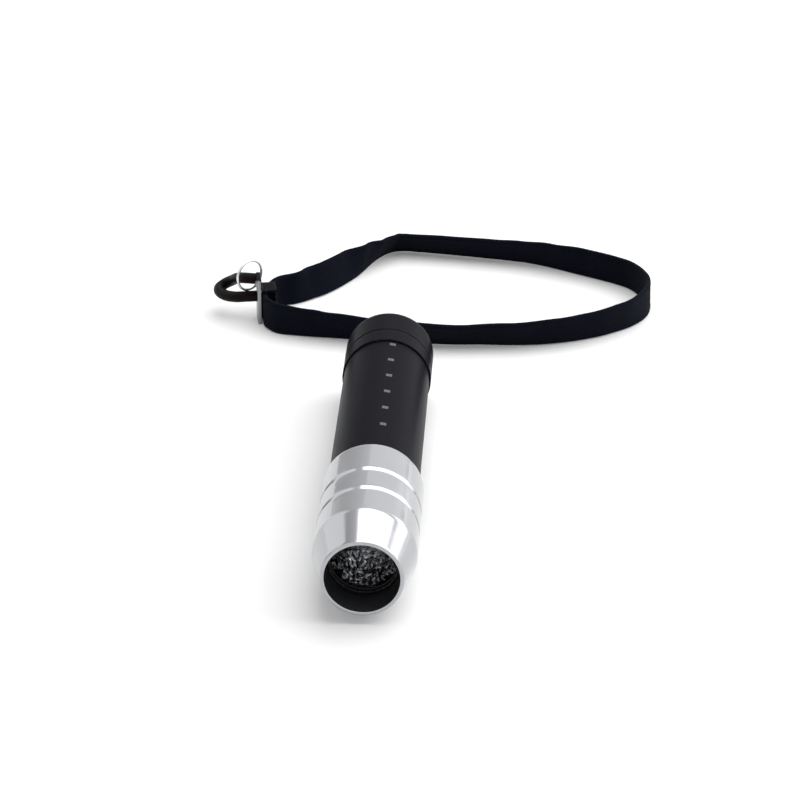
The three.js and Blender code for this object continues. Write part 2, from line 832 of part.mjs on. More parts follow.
// Reflector and light source
addNode(torch, "reflector", reflectorBowl(), finishes.mirror);
const eyeRadius = reflectorEyeDiameter / 2;
const centringRing = tube(eyeRadius, eyeRadius + centringRingWidth, centringFront, centringRear);
addNode(torch, "led_centring_ring", centringRing, finishes.whitePlastic);
addNode(torch, "led_dome", ledDome(), finishes.ledDome);
const ledMiddle = ledFront + ledThickness / 2;
addNode(torch, "led_package", block(ledSide, ledThickness, ledSide, 0, ledMiddle, 0), finishes.ceramic);
const ledDisc = disc(heatSinkRadius - ledBoardMargin, ledBoardFront, ledBoardRear);
const ledBoard = cut(ledDisc, leadDrills(ledBoardFront, ledBoardRear));
addNode(torch, "led_board", ledBoard, finishes.whitePlastic);

// Heat sink, driver and leads
addNode(torch, "heat_sink", heatSink(), finishes.brass);
addNode(torch, "lead_positive", lead(1), finishes.redLead);
addNode(torch, "lead_negative", lead(-1), finishes.blackLead);
addNode(torch, "driver_board", disc(driverRadius, driverFront, driverRear), finishes.greenBoard);
const coilRear = driverFront - stackGap;
const driverCoil = disc(driverCoilDiameter / 2, coilRear - driverCoilHeight, coilRear, innerSides / 2);
addNode(torch, "driver_coil", driverCoil.translate(0, 0, driverPartOffset), finishes.copperCoil);
const chipMiddle = driverFront - stackGap - driverChip.high / 2;
const chip = block(driverChip.wide, driverChip.high, driverChip.deep, 0, chipMiddle, -driverPartOffset);
addNode(torch, "driver_chip", chip, finishes.chip);
const driverRing = tube(
  driverRadius - driverRetainerWidth,
  driverRadius,
  driverRetainerFront,
  driverRetainerRear,
);
addNode(torch, "driver_retainer", driverRing, finishes.brass);
const contactSpring = coilSpring(
  contactSpringFront,
  contactSpringRear,
  contactSpringRadii.seat,
  contactSpringRadii.tip,
);
addNode(torch, "contact_spring", contactSpring, finishes.springSteel);

// Head
addNode(torch, "head_shell", headShell(), finishes.brightAluminium);
addNode(torch, "head_seal", headSeal(), finishes.sealRubber);

// Barrel and cell
addNode(torch, "barrel", barrelTube(), finishes.blackAnodised);
addNode(torch, "cell_body", disc(cellRadius, cellBodyFront, cellRear), finishes.cellWrap);
const cellCap = disc(cellCapDiameter / 2, cellFront, cellFront + cellCapHeight, innerSides / 2);
addNode(torch, "cell_cap", cellCap, finishes.steel);

// Tail cap and switch
addNode(torch, "tail_seal", tailSeal(), finishes.sealRubber);
addNode(torch, "tail_cap", tailCapShell(), finishes.blackAnodised);
const tailSpring = coilSpring(
  tailSpringFront,
  tailSpringRear,
  tailSpringRadii.tip,
  tailSpringRadii.seat,
);
addNode(torch, "tail_spring", tailSpring, finishes.springSteel);
const switchRing = tube(
  switchRetainerRadius - switchRetainerWidth,
  switchRetainerRadius,
  switchRetainerFront,
  switchRetainerRear,
);
addNode(torch, "switch_retainer", switchRing, finishes.brass);
const switchBoard = disc(switchRadius, switchBoardFront, switchBoardRear);
addNode(torch, "switch_board", switchBoard, finishes.greenBoard);
addNode(torch, "switch_body", switchBody(), finishes.switchPlastic);
const spacerRear = switchBodyFront + switchSpacerLength;
const spacer = tube(switchRadius - switchSpacerWidth, switchRadius, switchBodyFront, spacerRear);
addNode(torch, "switch_spacer", spacer, finishes.switchPlastic);
addNode(torch, "switch_plunger", switchPlunger(), finishes.switchPlastic);
addNode(torch, "switch_boot", switchBoot(), finishes.bootRubber);

// Wrist strap
addNode(lanyard, "wrist_strap", wristStrap(), finishes.webbing);
addNode(lanyard, "strap_crimp", strapCrimp(), finishes.gunmetal);
addNode(lanyard, "cord_loop", cordLoop(), finishes.waxedCord);
const ring = addNode(lanyard, "loop_ring", loopRing(), finishes.steel);
ring.rotation.z = Math.PI / 2 + THREE.MathUtils.degToRad(loopRingTurn);
ring.position.set(loopRingPlace.x, loopRingPlace.behind, loopRingPlace.z);

torch.position.z = headRadius;
lanyard.position.y = torchLength / 2;

const uvTorch = new THREE.Group();
uvTorch.add(torch, lanyard);

export default uvTorch;
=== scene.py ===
"""Dressed scene of a pocket ultraviolet torch that lies in front of its loose wrist strap.

Lengths in the classes are millimetres. A station is a distance along the torch's axis from its mouth.
"""

import logging
import math
from dataclasses import dataclass
from enum import Enum
from typing import Callable, NamedTuple, Sequence

import bmesh
import bpy
from mathutils import Matrix, Vector, noise


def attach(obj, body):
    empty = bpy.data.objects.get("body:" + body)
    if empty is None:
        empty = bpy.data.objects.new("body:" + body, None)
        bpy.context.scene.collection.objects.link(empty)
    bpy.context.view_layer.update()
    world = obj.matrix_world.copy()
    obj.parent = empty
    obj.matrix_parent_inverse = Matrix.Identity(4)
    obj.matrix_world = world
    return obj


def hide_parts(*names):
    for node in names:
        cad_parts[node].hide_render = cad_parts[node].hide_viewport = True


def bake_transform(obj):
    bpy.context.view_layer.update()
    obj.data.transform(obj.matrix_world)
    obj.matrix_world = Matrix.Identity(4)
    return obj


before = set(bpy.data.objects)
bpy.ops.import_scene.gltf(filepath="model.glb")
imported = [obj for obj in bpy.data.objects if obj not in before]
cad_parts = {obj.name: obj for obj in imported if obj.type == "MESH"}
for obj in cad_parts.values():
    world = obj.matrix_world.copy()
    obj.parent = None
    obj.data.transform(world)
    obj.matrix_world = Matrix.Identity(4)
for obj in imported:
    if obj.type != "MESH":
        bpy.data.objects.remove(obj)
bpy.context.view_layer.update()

LOG = logging.getLogger("uv_torch")

MM = 0.001
TORCH_LENGTH = 126.7
AXIS_HEIGHT = 12.67
FINE_STEPS = 144
INNER_STEPS = 72
SHARP_ANGLE = math.radians(42)
WEAR_START = math.radians(8)
WEAR_ANGLE = math.radians(34)
WEAR_REACH = 0.8

Colour = tuple[float, float, float]


class Body(Enum):
    """The moving bodies of the torch and of its strap."""

    BARREL = "barrel_body"
    HEAD_CARRIER = "head_carrier"
    HEAD = "head_body"
    WINDOW = "window_carrier"
    NOSE = "nose_body"
    TAIL_CARRIER = "tail_carrier"
    TAIL = "tail_body"
    BUTTON = "button_body"
    STRAP = "strap_body"


class Corner(NamedTuple):
    """A corner of a turned section: its radius, its station and how far it is rounded over."""

    radius: float
    station: float
    ease: float = 0.0


def row_y(station: float) -> float:
    """Where a station lies along Y, in metres."""
    return (station - TORCH_LENGTH / 2) * MM


def on_axis(station: float) -> Vector:
    """The point of the torch's axis at a station, in metres."""
    return Vector((0.0, row_y(station), AXIS_HEIGHT * MM))


class Graph:
    """The node tree of one new material, with short ways to add and join nodes."""

    def __init__(self, name: str) -> None:
        """Starts a material that holds only its shader.

        Args:
            name: The material's name.
        """
        self.material = bpy.data.materials.new(name)
        self.material.use_nodes = True
        self.tree = self.material.node_tree
        self.shader = self.tree.nodes["Principled BSDF"]

    def feed(self, socket: bpy.types.NodeSocket, value: object) -> None:
        """Sets a socket to a constant, or joins another node's output to it.

        Args:
            socket: The input to fill.
            value: A number, a colour, a vector or an output socket.
        """
        if isinstance(value, bpy.types.NodeSocket):
            self.tree.links.new(value, socket)
        else:
            socket.default_value = value

    def add(self, kind: str, inputs: dict | None = None, **settings: object) -> bpy.types.Node:
        """Adds one node.

        Args:
            kind: The node's type without its ShaderNode prefix.
            inputs: What goes into its sockets, by name or by place.
            **settings: The node's own options.

        Returns:
            The new node.
        """
        node = self.tree.nodes.new(f"ShaderNode{kind}")
        for key, value in settings.items():
            setattr(node, key, value)
        for key, value in (inputs or {}).items():
            self.feed(node.inputs[key], value)
        return node

    def shade(self, **inputs: object) -> None:
        """Fills sockets of the shader, named with underscores in place of spaces."""
        for key, value in inputs.items():
            self.feed(self.shader.inputs[key.replace("_", " ")], value)

    def place(self, scale: Sequence[float] = (1, 1, 1)) -> bpy.types.NodeSocket:
        """Object coordinates in metres, stretched along the axes.

        Args:
            scale: The stretch along X, Y and Z.

        Returns:
            The vector output.
        """
        coords = self.add("TexCoord")
        stretch = {"Vector": coords.outputs["Object"], "Scale": tuple(scale)}
        return self.add("Mapping", stretch).outputs["Vector"]

    def attribute(self, name: str) -> bpy.types.NodeSocket:
        """A number that the mesh carries at each vertex."""
        return self.add("Attribute", attribute_name=name).outputs["Fac"]

    def noise(
        self, vector: bpy.types.NodeSocket, scale: float, detail: float = 3.0
    ) -> bpy.types.NodeSocket:
        """A soft noise between 0 and 1.

        Args:
            vector: Where it is read.
            scale: How many of its lumps fit in a metre.
            detail: How many finer layers it has.

        Returns:
            The noise's value.
        """
        sockets = {"Vector": vector, "Scale": scale, "Detail": detail}
        return self.add("TexNoise", sockets).outputs["Fac"]

    def cells(self, vector: bpy.types.NodeSocket, scale: float) -> bpy.types.NodeSocket:
        """The distance to the nearest of scattered points, for dimples and grit."""
        return self.add("TexVoronoi", {"Vector": vector, "Scale": scale}).outputs["Distance"]

    def sum(
        self, operation: str, first: object, second: object = 0.0
    ) -> bpy.types.NodeSocket:
        """The result of one step of arithmetic.

        Args:
            operation: The Math node's operation.
            first: A number or an output socket.
            second: A number or an output socket.

        Returns:
            The result's socket.
        """
        return self.add("Math", {0: first, 1: second}, operation=operation).outputs[0]

    def span(
        self, value: bpy.types.NodeSocket, low: float, high: float, start: float = 0.3, end: float = 0.7
    ) -> bpy.types.NodeSocket:
        """Maps a value from one range to another and holds it there.

        Args:
            value: The value to map.
            low: What start becomes.
            high: What end becomes.
            start: The low end of the value's range.
            end: The high end of the value's range.

        Returns:
            The mapped value.
        """
        sockets = {"Value": value, "From Min": start, "From Max": end, "To Min": low, "To Max": high}
        return self.add("MapRange", sockets).outputs["Result"]

    def blend(
        self, share: bpy.types.NodeSocket, first: object, second: object
    ) -> bpy.types.NodeSocket:
        """Mixes two colours.

        Args:
            share: How much of the second there is.
            first: A colour or an output socket.
            second: A colour or an output socket.

        Returns:
            The mixed colour.
        """
        ends = [(*c, 1.0) if isinstance(c, tuple) and len(c) == 3 else c for c in (first, second)]
        return self.add("Mix", {0: share, 6: ends[0], 7: ends[1]}, data_type="RGBA").outputs[2]

    def bump(
        self,
        height: bpy.types.NodeSocket,
        depth_mm: float,
        strength: float = 1.0,
        under: bpy.types.NodeSocket | None = None,
    ) -> bpy.types.NodeSocket:
        """Turns a height into a normal.

        Args:
            height: The height between 0 and 1.
            depth_mm: What a height of 1 stands for.
            strength: How much of the bump is used.
            under: A normal that this one goes over.

        Returns:
            The normal.
        """
        sockets = {"Height": height, "Distance": depth_mm * MM, "Strength": strength}
        if under is not None:
            sockets["Normal"] = under
        return self.add("Bump", sockets).outputs["Normal"]


def tint(colour: Colour, share: float) -> Colour:
    """A colour made darker or lighter by a share."""
    return tuple(min(1.0, c * share) for c in colour)


@dataclass(frozen=True)
class Finish:
    """A plain moulded finish, and the base of the others."""

    name: str
    colour: Colour
    roughness: float = 0.5

    def material(self) -> bpy.types.Material:
        """The finish's material, made the first time that it is asked for."""
        found = bpy.data.materials.get(self.name)
        if found is not None:
            return found
        graph = Graph(self.name)
        self.dress(graph)
        return graph.material

    def dress(self, graph: Graph) -> None:
        """Gives the material a fine moulded grain and uneven colour."""
        grain = graph.noise(graph.place(), 4200, 2)
        cloud = graph.noise(graph.place(), 260, 4)
        graph.shade(
            Base_Color=graph.blend(cloud, tint(self.colour, 0.86), tint(self.colour, 1.1)),
            Roughness=graph.span(cloud, self.roughness - 0.06, self.roughness + 0.08),
            Normal=graph.bump(grain, 0.012, 0.5),
        )


@dataclass(frozen=True)
class TurnedMetal(Finish):
    """Bare metal with the fine rings that a lathe leaves round it."""

    rings_per_metre: float = 5200
    ring_depth: float = 0.004
    pull: float = 0.25

    def dress(self, graph: Graph) -> None:
        """Adds the rings, faint smears and brighter worn edges."""
        rings = graph.noise(graph.place((70, self.rings_per_metre, 70)), 1.0, 3)
        smear = graph.noise(graph.place((1, 0.35, 1)), 210, 4)
        worn = graph.span(graph.attribute("wear"), 0.0, 0.6, 0.1, 1.0)
        body = graph.blend(smear, tint(self.colour, 0.93), tint(self.colour, 1.03))
        gloss = graph.sum("ADD", graph.span(smear, -0.03, 0.05), graph.span(rings, -0.03, 0.03))
        tangent = graph.add("Tangent", direction_type="RADIAL", axis="Y").outputs["Tangent"]
        graph.shade(
            Base_Color=graph.blend(worn, body, tint(self.colour, 1.12)),
            Metallic=1.0,
            Roughness=graph.sum("ADD", gloss, self.roughness),
            Anisotropic=self.pull,
            Tangent=tangent,
            Normal=graph.bump(rings, self.ring_depth, 0.6),
        )


@dataclass(frozen=True)
class Anodised(Finish):
    """A dyed anodised skin on metal, with fine blasted grain and lighter edges: rubbed wear, and where the edge colour
    is bright, a painted glint.
    """

    edge_wear_and_glint_colour: Colour = (0.12, 0.12, 0.125)
    gloss: float = 0.22

    def dress(self, graph: Graph) -> None:
        """Adds the grain, the faint handling marks and the lighter edges, which are rubbed wear and, on the ring, a
        painted glint.
        """
        grain = graph.noise(graph.place(), 6500, 2)
        marks = graph.noise(graph.place((1, 0.25, 1)), 320, 5)
        cloud = graph.noise(graph.place(), 95, 3)
        chips = graph.noise(graph.place(), 1700, 5)
        # Lighter edges: rubbed wear, and with a bright edge colour a painted glint.
        edge_wear_and_glint = graph.sum("MULTIPLY", graph.attribute("wear"), graph.span(chips, 0.0, 0.7, 0.46, 0.66))
        skin = graph.blend(cloud, tint(self.colour, 0.97), tint(self.colour, 1.03))
        graph.shade(
            Base_Color=graph.blend(edge_wear_and_glint, skin, self.edge_wear_and_glint_colour),
            Roughness=graph.span(marks, self.roughness - 0.012, self.roughness + 0.014),
            Specular_IOR_Level=self.gloss,
            Normal=graph.bump(grain, 0.01, 0.6),
        )


@dataclass(frozen=True)
class Rubber(Finish):
    """Moulded rubber with a soft bloom."""

    def dress(self, graph: Graph) -> None:
        """Adds the grit of the mould and a pale bloom in patches."""
        grit = graph.cells(graph.place(), 2600)
        bloom = graph.noise(graph.place(), 420, 4)
        graph.shade(
            Base_Color=graph.blend(graph.span(bloom, 0.0, 1.0, 0.4, 0.8), self.colour, tint(self.colour, 1.7)),
            Roughness=graph.span(bloom, self.roughness - 0.08, self.roughness + 0.08),
            Specular_IOR_Level=0.3,
            Normal=graph.bump(grit, 0.02, 0.5),
        )


@dataclass(frozen=True)
class Glass(Finish):
    """A clear polished window, coated so that it hardly mirrors, with the faintest haze."""

    def dress(self, graph: Graph) -> None:
        """Makes the shader clear and adds haze in patches."""
        haze = graph.noise(graph.place(), 520, 4)
        graph.shade(
            Base_Color=(*self.colour, 1.0),
            Roughness=graph.span(haze, 0.0, self.roughness, 0.5, 0.85),
            IOR=1.14,
            Transmission_Weight=1.0,
        )


@dataclass(frozen=True)
class DimpledMirror(Finish):
    """A bright coating over the dimpled wall of a bowl, with painted reflections in its colour: bright flecks on dark,
    under painted shade that deepens towards the bowl's eye.
    """

    painted_dark_share: float = 0.05
    eye_painted_shade: float = 0.3
    eye_shade_reach: tuple[float, float] = (18.0, 21.5)

    def dress(self, graph: Graph) -> None:
        """Paints bright flecks on a dark base as painted reflections, paints shade that deepens towards the bowl's
        eye, and adds fine dimples.
        """
        painted_fleck_noise = graph.noise(graph.place((1, 0.4, 1)), 1250, 2)
        dimples = graph.noise(graph.place(), 2300, 1)
        haze = graph.noise(graph.place(), 190, 2)
        depth = graph.add("SeparateXYZ", {0: graph.place()}).outputs["Y"]
        near, deep = (row_y(station) for station in self.eye_shade_reach)
        # Painted shade: the flecks dim towards the bowl's eye, with random haze.
        facing = graph.sum("MULTIPLY", graph.span(haze, 0.6, 1.0), graph.span(depth, 1.0, self.eye_painted_shade, near, deep))
        # Painted reflections: bright flecks where the noise is high, a dark base colour elsewhere.
        bright = graph.sum("MULTIPLY", graph.span(painted_fleck_noise, 0.0, 1.0, 0.47, 0.54), facing)
        graph.shade(
            Base_Color=graph.blend(bright, tint(self.colour, self.painted_dark_share), self.colour),
            Metallic=1.0,
            Roughness=graph.span(dimples, self.roughness, self.roughness + 0.08),
            Normal=graph.bump(dimples, 0.025, 0.8),
        )


@dataclass(frozen=True)
class Webbing(Finish):
    """Tight woven strap, with its threads laid along and across the band."""

    across_pitch: float = 0.85
    along_pitch: float = 1.15

    def dress(self, graph: Graph) -> None:
        """Weaves the threads from the distances that the mesh carries."""
        turn = 2 * math.pi / MM
        along = graph.sum("SINE", graph.sum("MULTIPLY", graph.attribute("run"), turn / self.along_pitch))
        across = graph.sum("SINE", graph.sum("MULTIPLY", graph.attribute("rise"), turn / self.across_pitch))
        weave = graph.span(graph.sum("MULTIPLY", along, across), 0.0, 1.0, -1.0, 1.0)
        fluff = graph.noise(graph.place(), 5200, 3)
        fade = graph.noise(graph.place(), 90, 3)
        # Painted shade and highlight: the threads' colour follows the weave's relief, darker in its dips and lighter
        # where threads cross over.
        threads = graph.blend(weave, tint(self.colour, 0.6), tint(self.colour, 1.5))
        graph.shade(
            Base_Color=graph.blend(graph.span(fade, 0.0, 0.35), threads, tint(self.colour, 1.9)),
            Roughness=self.roughness,
            Specular_IOR_Level=0.03,
            Sheen_Weight=0.012,
            Sheen_Roughness=0.5,
            Normal=graph.bump(fluff, 0.05, 0.35, graph.bump(weave, 0.16, 0.8)),
        )


@dataclass(frozen=True)
class LaidCord(Finish):
    """Stiff waxed cord whose strands wind round it."""

    lay: float = 2.4
    strands: int = 3

    def dress(self, graph: Graph) -> None:
        """Winds the strands from the distances that the mesh carries."""
        wound = graph.sum("MULTIPLY", graph.attribute("round"), 2 * math.pi * self.strands)
        drawn = graph.sum("MULTIPLY", graph.attribute("run"), 2 * math.pi * self.strands / (self.lay * MM))
        # Painted shade and highlight: strand drives the colour as well as the bump, so the cord is darker in the
        # grooves between strands and lighter on their crests.
        strand = graph.sum("ABSOLUTE", graph.sum("SINE", graph.sum("ADD", wound, drawn)))
        wax = graph.noise(graph.place(), 900, 4)
        graph.shade(
            Base_Color=graph.blend(strand, tint(self.colour, 0.45), tint(self.colour, 1.35)),
            Roughness=graph.span(wax, self.roughness - 0.15, self.roughness + 0.1),
            Specular_IOR_Level=0.08,
            Normal=graph.bump(strand, 0.22, 0.8),
        )


@dataclass(frozen=True)
class Sheet(Finish):
    """A board with a fine fibre under its mask."""

    def dress(self, graph: Graph) -> None:
        """Lays the fibre across and up, with faint copper fields under the mask."""
        warp = graph.noise(graph.place((3000, 200, 200)), 1.0, 2)
        weft = graph.noise(graph.place((200, 200, 3000)), 1.0, 2)
        fibre = graph.sum("MULTIPLY", warp, weft)
        fields = graph.span(graph.cells(graph.place(), 420), 0.0, 1.0, 0.25, 0.3)
        graph.shade(
            Base_Color=graph.blend(fields, tint(self.colour, 0.8), tint(self.colour, 1.15)),
            Roughness=self.roughness,
            Normal=graph.bump(fibre, 0.02, 0.5),
        )


@dataclass(frozen=True)
class Printed(Finish):
    """Opaque ink that has worn thin in places."""

    def dress(self, graph: Graph) -> None:
        """Thins the ink with fine specks."""
        specks = graph.noise(graph.place(), 3800, 3)
        graph.shade(
            Base_Color=graph.blend(graph.span(specks, 0.0, 0.5, 0.5, 0.75), self.colour, tint(self.colour, 0.4)),
            Roughness=self.roughness,
            Normal=graph.bump(specks, 0.01, 0.5),
        )


BRIGHT_ALUMINIUM = TurnedMetal("bright_aluminium_turned", (0.41, 0.415, 0.432), 0.14)
BLACK_SKIN = Anodised("black_anodised_skin", (0.0046, 0.0048, 0.0078), 0.36, (0.05, 0.05, 0.054), 0.018)
MOUTH_BLACK = Anodised("mouth_black", (0.02, 0.0205, 0.0245), 0.3, (0.03, 0.03, 0.033), 0.5)
# The ring's bright edge colour is a painted glint along its edges, over a little rubbed wear.
RING_BLACK = Anodised("ring_black", (0.004, 0.004, 0.0045), 0.3, (0.45, 0.45, 0.46), 0.25)
SEAL_RUBBER = Rubber("seal_rubber_smooth", (0.012, 0.012, 0.012), 0.5)
BOOT_RUBBER = Rubber("boot_rubber_matt", (0.014, 0.0145, 0.0155), 0.62)
WINDOW_GLASS = Glass("window_glass_clear", (0.96, 0.975, 1.0), 0.05)
BOWL_MIRROR = DimpledMirror("bowl_mirror_dimpled", (0.95, 0.95, 0.96), 0.04)
WHITE_PLASTIC = Finish("white_plastic_plain", (0.76, 0.75, 0.7), 0.5)
WHITE_MASK = Sheet("white_mask", (0.78, 0.78, 0.75), 0.4)
GREEN_MASK = Sheet("green_mask", (0.02, 0.13, 0.055), 0.35)
LIGHT_DOME = Finish("light_dome_silicone", (0.09, 0.085, 0.12), 0.12)
BRASS = TurnedMetal("turned_brass", (0.62, 0.46, 0.2), 0.24)
COIL_COPPER = TurnedMetal("wound_copper", (0.48, 0.2, 0.09), 0.3, 3200, 0.06)
RED_SLEEVE = Finish("red_lead_sleeve", (0.42, 0.025, 0.02), 0.4)
BLACK_SLEEVE = Finish("black_lead_sleeve", (0.012, 0.012, 0.012), 0.4)
BLACK_MOULDING = Finish("black_moulding", (0.018, 0.018, 0.02), 0.45)
SPRING_WIRE = TurnedMetal("spring_wire", (0.62, 0.59, 0.5), 0.22)
CELL_SLEEVE = Finish("cell_sleeve", (0.03, 0.14, 0.2), 0.28)
PLATED_STEEL = TurnedMetal("plated_steel_bright", (0.66, 0.67, 0.68), 0.16)
DARK_PLATING = Anodised("dark_plating", (0.004, 0.0044, 0.0068), 0.5, (0.06, 0.06, 0.064), 0.02)
STRAP_WEBBING = Webbing("strap_webbing_woven", (0.0034, 0.0042, 0.0082), 0.85)
LOOP_CORD = LaidCord("loop_cord_waxed", (0.0062, 0.0034, 0.0032), 0.4)
# Painted highlight: bright metal on the crimp's plate stands for light caught along its fold.
CRIMP_PAINTED_HIGHLIGHT = TurnedMetal("crimp_edge_painted_highlight", (0.27, 0.27, 0.28), 0.36)
WHITE_INK = Printed("white_ink", (0.075, 0.075, 0.085), 0.6)


class Shape:
    """A mesh that bmesh operators build, and that becomes one piece of the object."""

    def __init__(self) -> None:
        """Starts with an empty mesh."""
        self.bm = bmesh.new()

    def absorb(self, other: bmesh.types.BMesh) -> None:
        """Adds another mesh to this one and frees it.

        Args:
            other: The mesh to take in.
        """
        carrier = bpy.data.meshes.new("carrier")
        other.to_mesh(carrier)
        other.free()
        self.bm.from_mesh(carrier)
        bpy.data.meshes.remove(carrier)

    def turn(self, section: Sequence[Sequence[float]], steps: int = FINE_STEPS) -> "Shape":
        """Rounds over a section's corners and spins it about the torch's axis.

        Args:
            section: Radius, station and rounding of each corner, in order. A section that doesn't start on
                the axis is closed.
            steps: How many steps a full turn takes.

        Returns:
            The shape itself.
        """
        corners = [Corner(*c) for c in section]
        fresh = bmesh.new()
        verts = [fresh.verts.new(on_axis(c.station) + Vector((c.radius * MM, 0, 0))) for c in corners]
        ends = verts[1:] if corners[0].radius == 0 else verts[1:] + verts[:1]
        for start, end in zip(verts, ends):
            fresh.edges.new((start, end))
        for ease in sorted({c.ease for c in corners if c.ease}):
            chosen = [v for v, c in zip(verts, corners) if c.ease == ease]
            bmesh.ops.bevel(
                fresh,
                geom=chosen,
                offset=ease * MM,
                offset_type="OFFSET",
                segments=4,
                profile=0.5,
                affect="VERTICES",
                material=-1,
            )
        for edge in [e for e in fresh.edges if e.calc_length() > 3 * WEAR_REACH * MM]:
            for vert in edge.verts[:]:
                bmesh.utils.edge_split(edge, vert, WEAR_REACH * MM / edge.calc_length())
        bmesh.ops.spin(
            fresh,
            geom=fresh.verts[:] + fresh.edges[:],
            cent=on_axis(0),
            axis=(0, 1, 0),
            dvec=(0, 0, 0),
            angle=2 * math.pi,
            steps=steps,
            use_merge=True,
            use_duplicate=False,
        )
        bmesh.ops.remove_doubles(fresh, verts=fresh.verts[:], dist=1e-7)
        bmesh.ops.recalc_face_normals(fresh, faces=fresh.faces[:])
        self.absorb(fresh)
        return self

    def thread(self, crest: float, front: float, rear: float, pitch: float, depth: float = 0.35) -> "Shape":
        """Winds a screw thread round the torch's axis.

        Args:
            crest: The radius of its crest.
            front: The station where it starts.
            rear: The station where it ends.
            pitch: Its rise in one turn.
            depth: How far it stands above its core.

        Returns:
            The shape itself.
        """
        steps = INNER_STEPS
        turns = (rear - front) / pitch - 0.8
        core = crest - depth - 0.05
        tooth = ((core, 0.0), (crest, 0.28), (crest, 0.42), (core, 0.7))
        fresh = bmesh.new()
        verts = [
            fresh.verts.new(on_axis(front + share * pitch) + Vector((radius * MM, 0, 0)))
            for radius, share in tooth
        ]
        for start, end in zip(verts, verts[1:] + verts[:1]):
            fresh.edges.new((start, end))
        count = round(turns * steps)
        bmesh.ops.spin(
            fresh,
            geom=fresh.verts[:] + fresh.edges[:],
            cent=on_axis(0),
            axis=(0, 1, 0),
            dvec=(0, pitch * MM / steps, 0),
            angle=2 * math.pi * count / steps,
            steps=count,
            use_merge=False,
            use_duplicate=False,
        )
        rims = [e for e in fresh.edges if e.is_boundary]
        bmesh.ops.holes_fill(fresh, edges=rims, sides=4)
        bmesh.ops.recalc_face_normals(fresh, faces=fresh.faces[:])
        self.absorb(fresh)
        return self

    def sweep(
        self, section: Sequence[Sequence[float]], places: Sequence[Matrix], runs: Sequence[float]
    ) -> "Shape":
        """Draws a closed section along a row of places.

        Args:
            section: The section's points in millimetres, in the first two axes of a place.
            places: Where each ring lies, in metres.
            runs: How far along each ring is, in metres, which the mesh carries as run.

        Returns:
            The shape itself.
        """
        fresh = bmesh.new()
        run = fresh.verts.layers.float.new("run")
        rise = fresh.verts.layers.float.new("rise")
        turned = fresh.verts.layers.float.new("round")
        ring = []
        for i, (across, up) in enumerate(section):
            vert = fresh.verts.new(places[0] @ Vector((across * MM, up * MM, 0)))
            vert[run] = runs[0]
            vert[rise] = up * MM
            vert[turned] = i / len(section)
            ring.append(vert)
        edges = [fresh.edges.new(pair) for pair in zip(ring, ring[1:] + ring[:1])]
        first = list(edges)
        for before, after, length in zip(places, places[1:], runs[1:]):
            made = bmesh.ops.extrude_edge_only(fresh, edges=edges)["geom"]
            verts = [g for g in made if isinstance(g, bmesh.types.BMVert)]
            fresh_verts = set(verts)
            bmesh.ops.transform(fresh, matrix=after @ before.inverted(), verts=verts)
            for vert in verts:
                vert[run] = length
            edges = [
                g
                for g in made
                if isinstance(g, bmesh.types.BMEdge) and all(v in fresh_verts for v in g.verts)
            ]
        for rim in (first, edges):
            bmesh.ops.edgeloop_fill(fresh, edges=rim)
        bmesh.ops.recalc_face_normals(fresh, faces=fresh.faces[:])
        self.absorb(fresh)
        return self

    def paint(self, index: int, chosen: Callable[[float, float, Vector], bool]) -> "Shape":
        """Gives some faces another of the piece's finishes.

        Args:
            index: The finish's place in the piece's list.
            chosen: A test of a face's radius, its station and its normal.

        Returns:
            The shape itself.
        """
        self.bm.normal_update()
        for face in self.bm.faces:
            middle = face.calc_center_median()
            radius = math.hypot(middle.x, middle.z - AXIS_HEIGHT * MM) / MM
            if chosen(radius, middle.y / MM + TORCH_LENGTH / 2, face.normal):
                face.material_index = index
        return self

    def mark_wear(self) -> None:
        """Writes how exposed each vertex is, from the angle of the edges that meet there."""
        wear = self.bm.verts.layers.float.get("wear") or self.bm.verts.layers.float.new("wear")
        for edge in self.bm.edges:
            if len(edge.link_faces) != 2:
                continue
            sharp = edge.calc_face_angle_signed(0.0) - WEAR_START
            share = min(1.0, max(0.0, sharp / (WEAR_ANGLE - WEAR_START)))
            for vert in edge.verts:
                vert[wear] = max(vert[wear], share)

    def piece(
        self,
        name: str,
        finishes: Sequence[Finish],
        body: Body,
        slot: str,
        stands_for: Sequence[str] = (),
        rides: bool = True,
    ) -> bpy.types.Object:
        """Ends the mesh and makes it a piece of the object.

        Args:
            name: The piece's name.
            finishes: Its finishes, in the order that its faces number them.
            body: What it moves with.
            slot: Not used.
            stands_for: The plain nodes that it replaces.
            rides: Whether it rides on its body; if not, it is left without one.

        Returns:
            The new object.
        """
        self.bm.normal_update()
        self.mark_wear()
        for face in self.bm.faces:
            face.smooth = True
        for edge in self.bm.edges:
            edge.smooth = len(edge.link_faces) == 2 and edge.calc_face_angle(0.0) < SHARP_ANGLE
        mesh = bpy.data.meshes.new(name)
        self.bm.to_mesh(mesh)
        self.bm.free()
        for finish in finishes:
            mesh.materials.append(finish.material())
        made = bpy.data.objects.new(name, mesh)
        bpy.context.scene.collection.objects.link(made)
        if rides:
            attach(made, body.value)
        if stands_for:
            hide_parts(*stands_for)
        LOG.info("%s: %d faces on %s", name, len(mesh.polygons), body.value)
        return made


@dataclass(frozen=True)
class Turning:
    """One plain turned piece that stands for a node of the same body."""

    node: str
    finish: Finish
    body: Body
    slot: str
    section: tuple[tuple[float, ...], ...]

    def build(self) -> bpy.types.Object:
        """Spins the section with fine steps.

        Returns:
            The new piece.
        """
        shape = Shape().turn(self.section, INNER_STEPS)
        return shape.piece(f"{self.node}_fine", [self.finish], self.body, self.slot, [self.node])


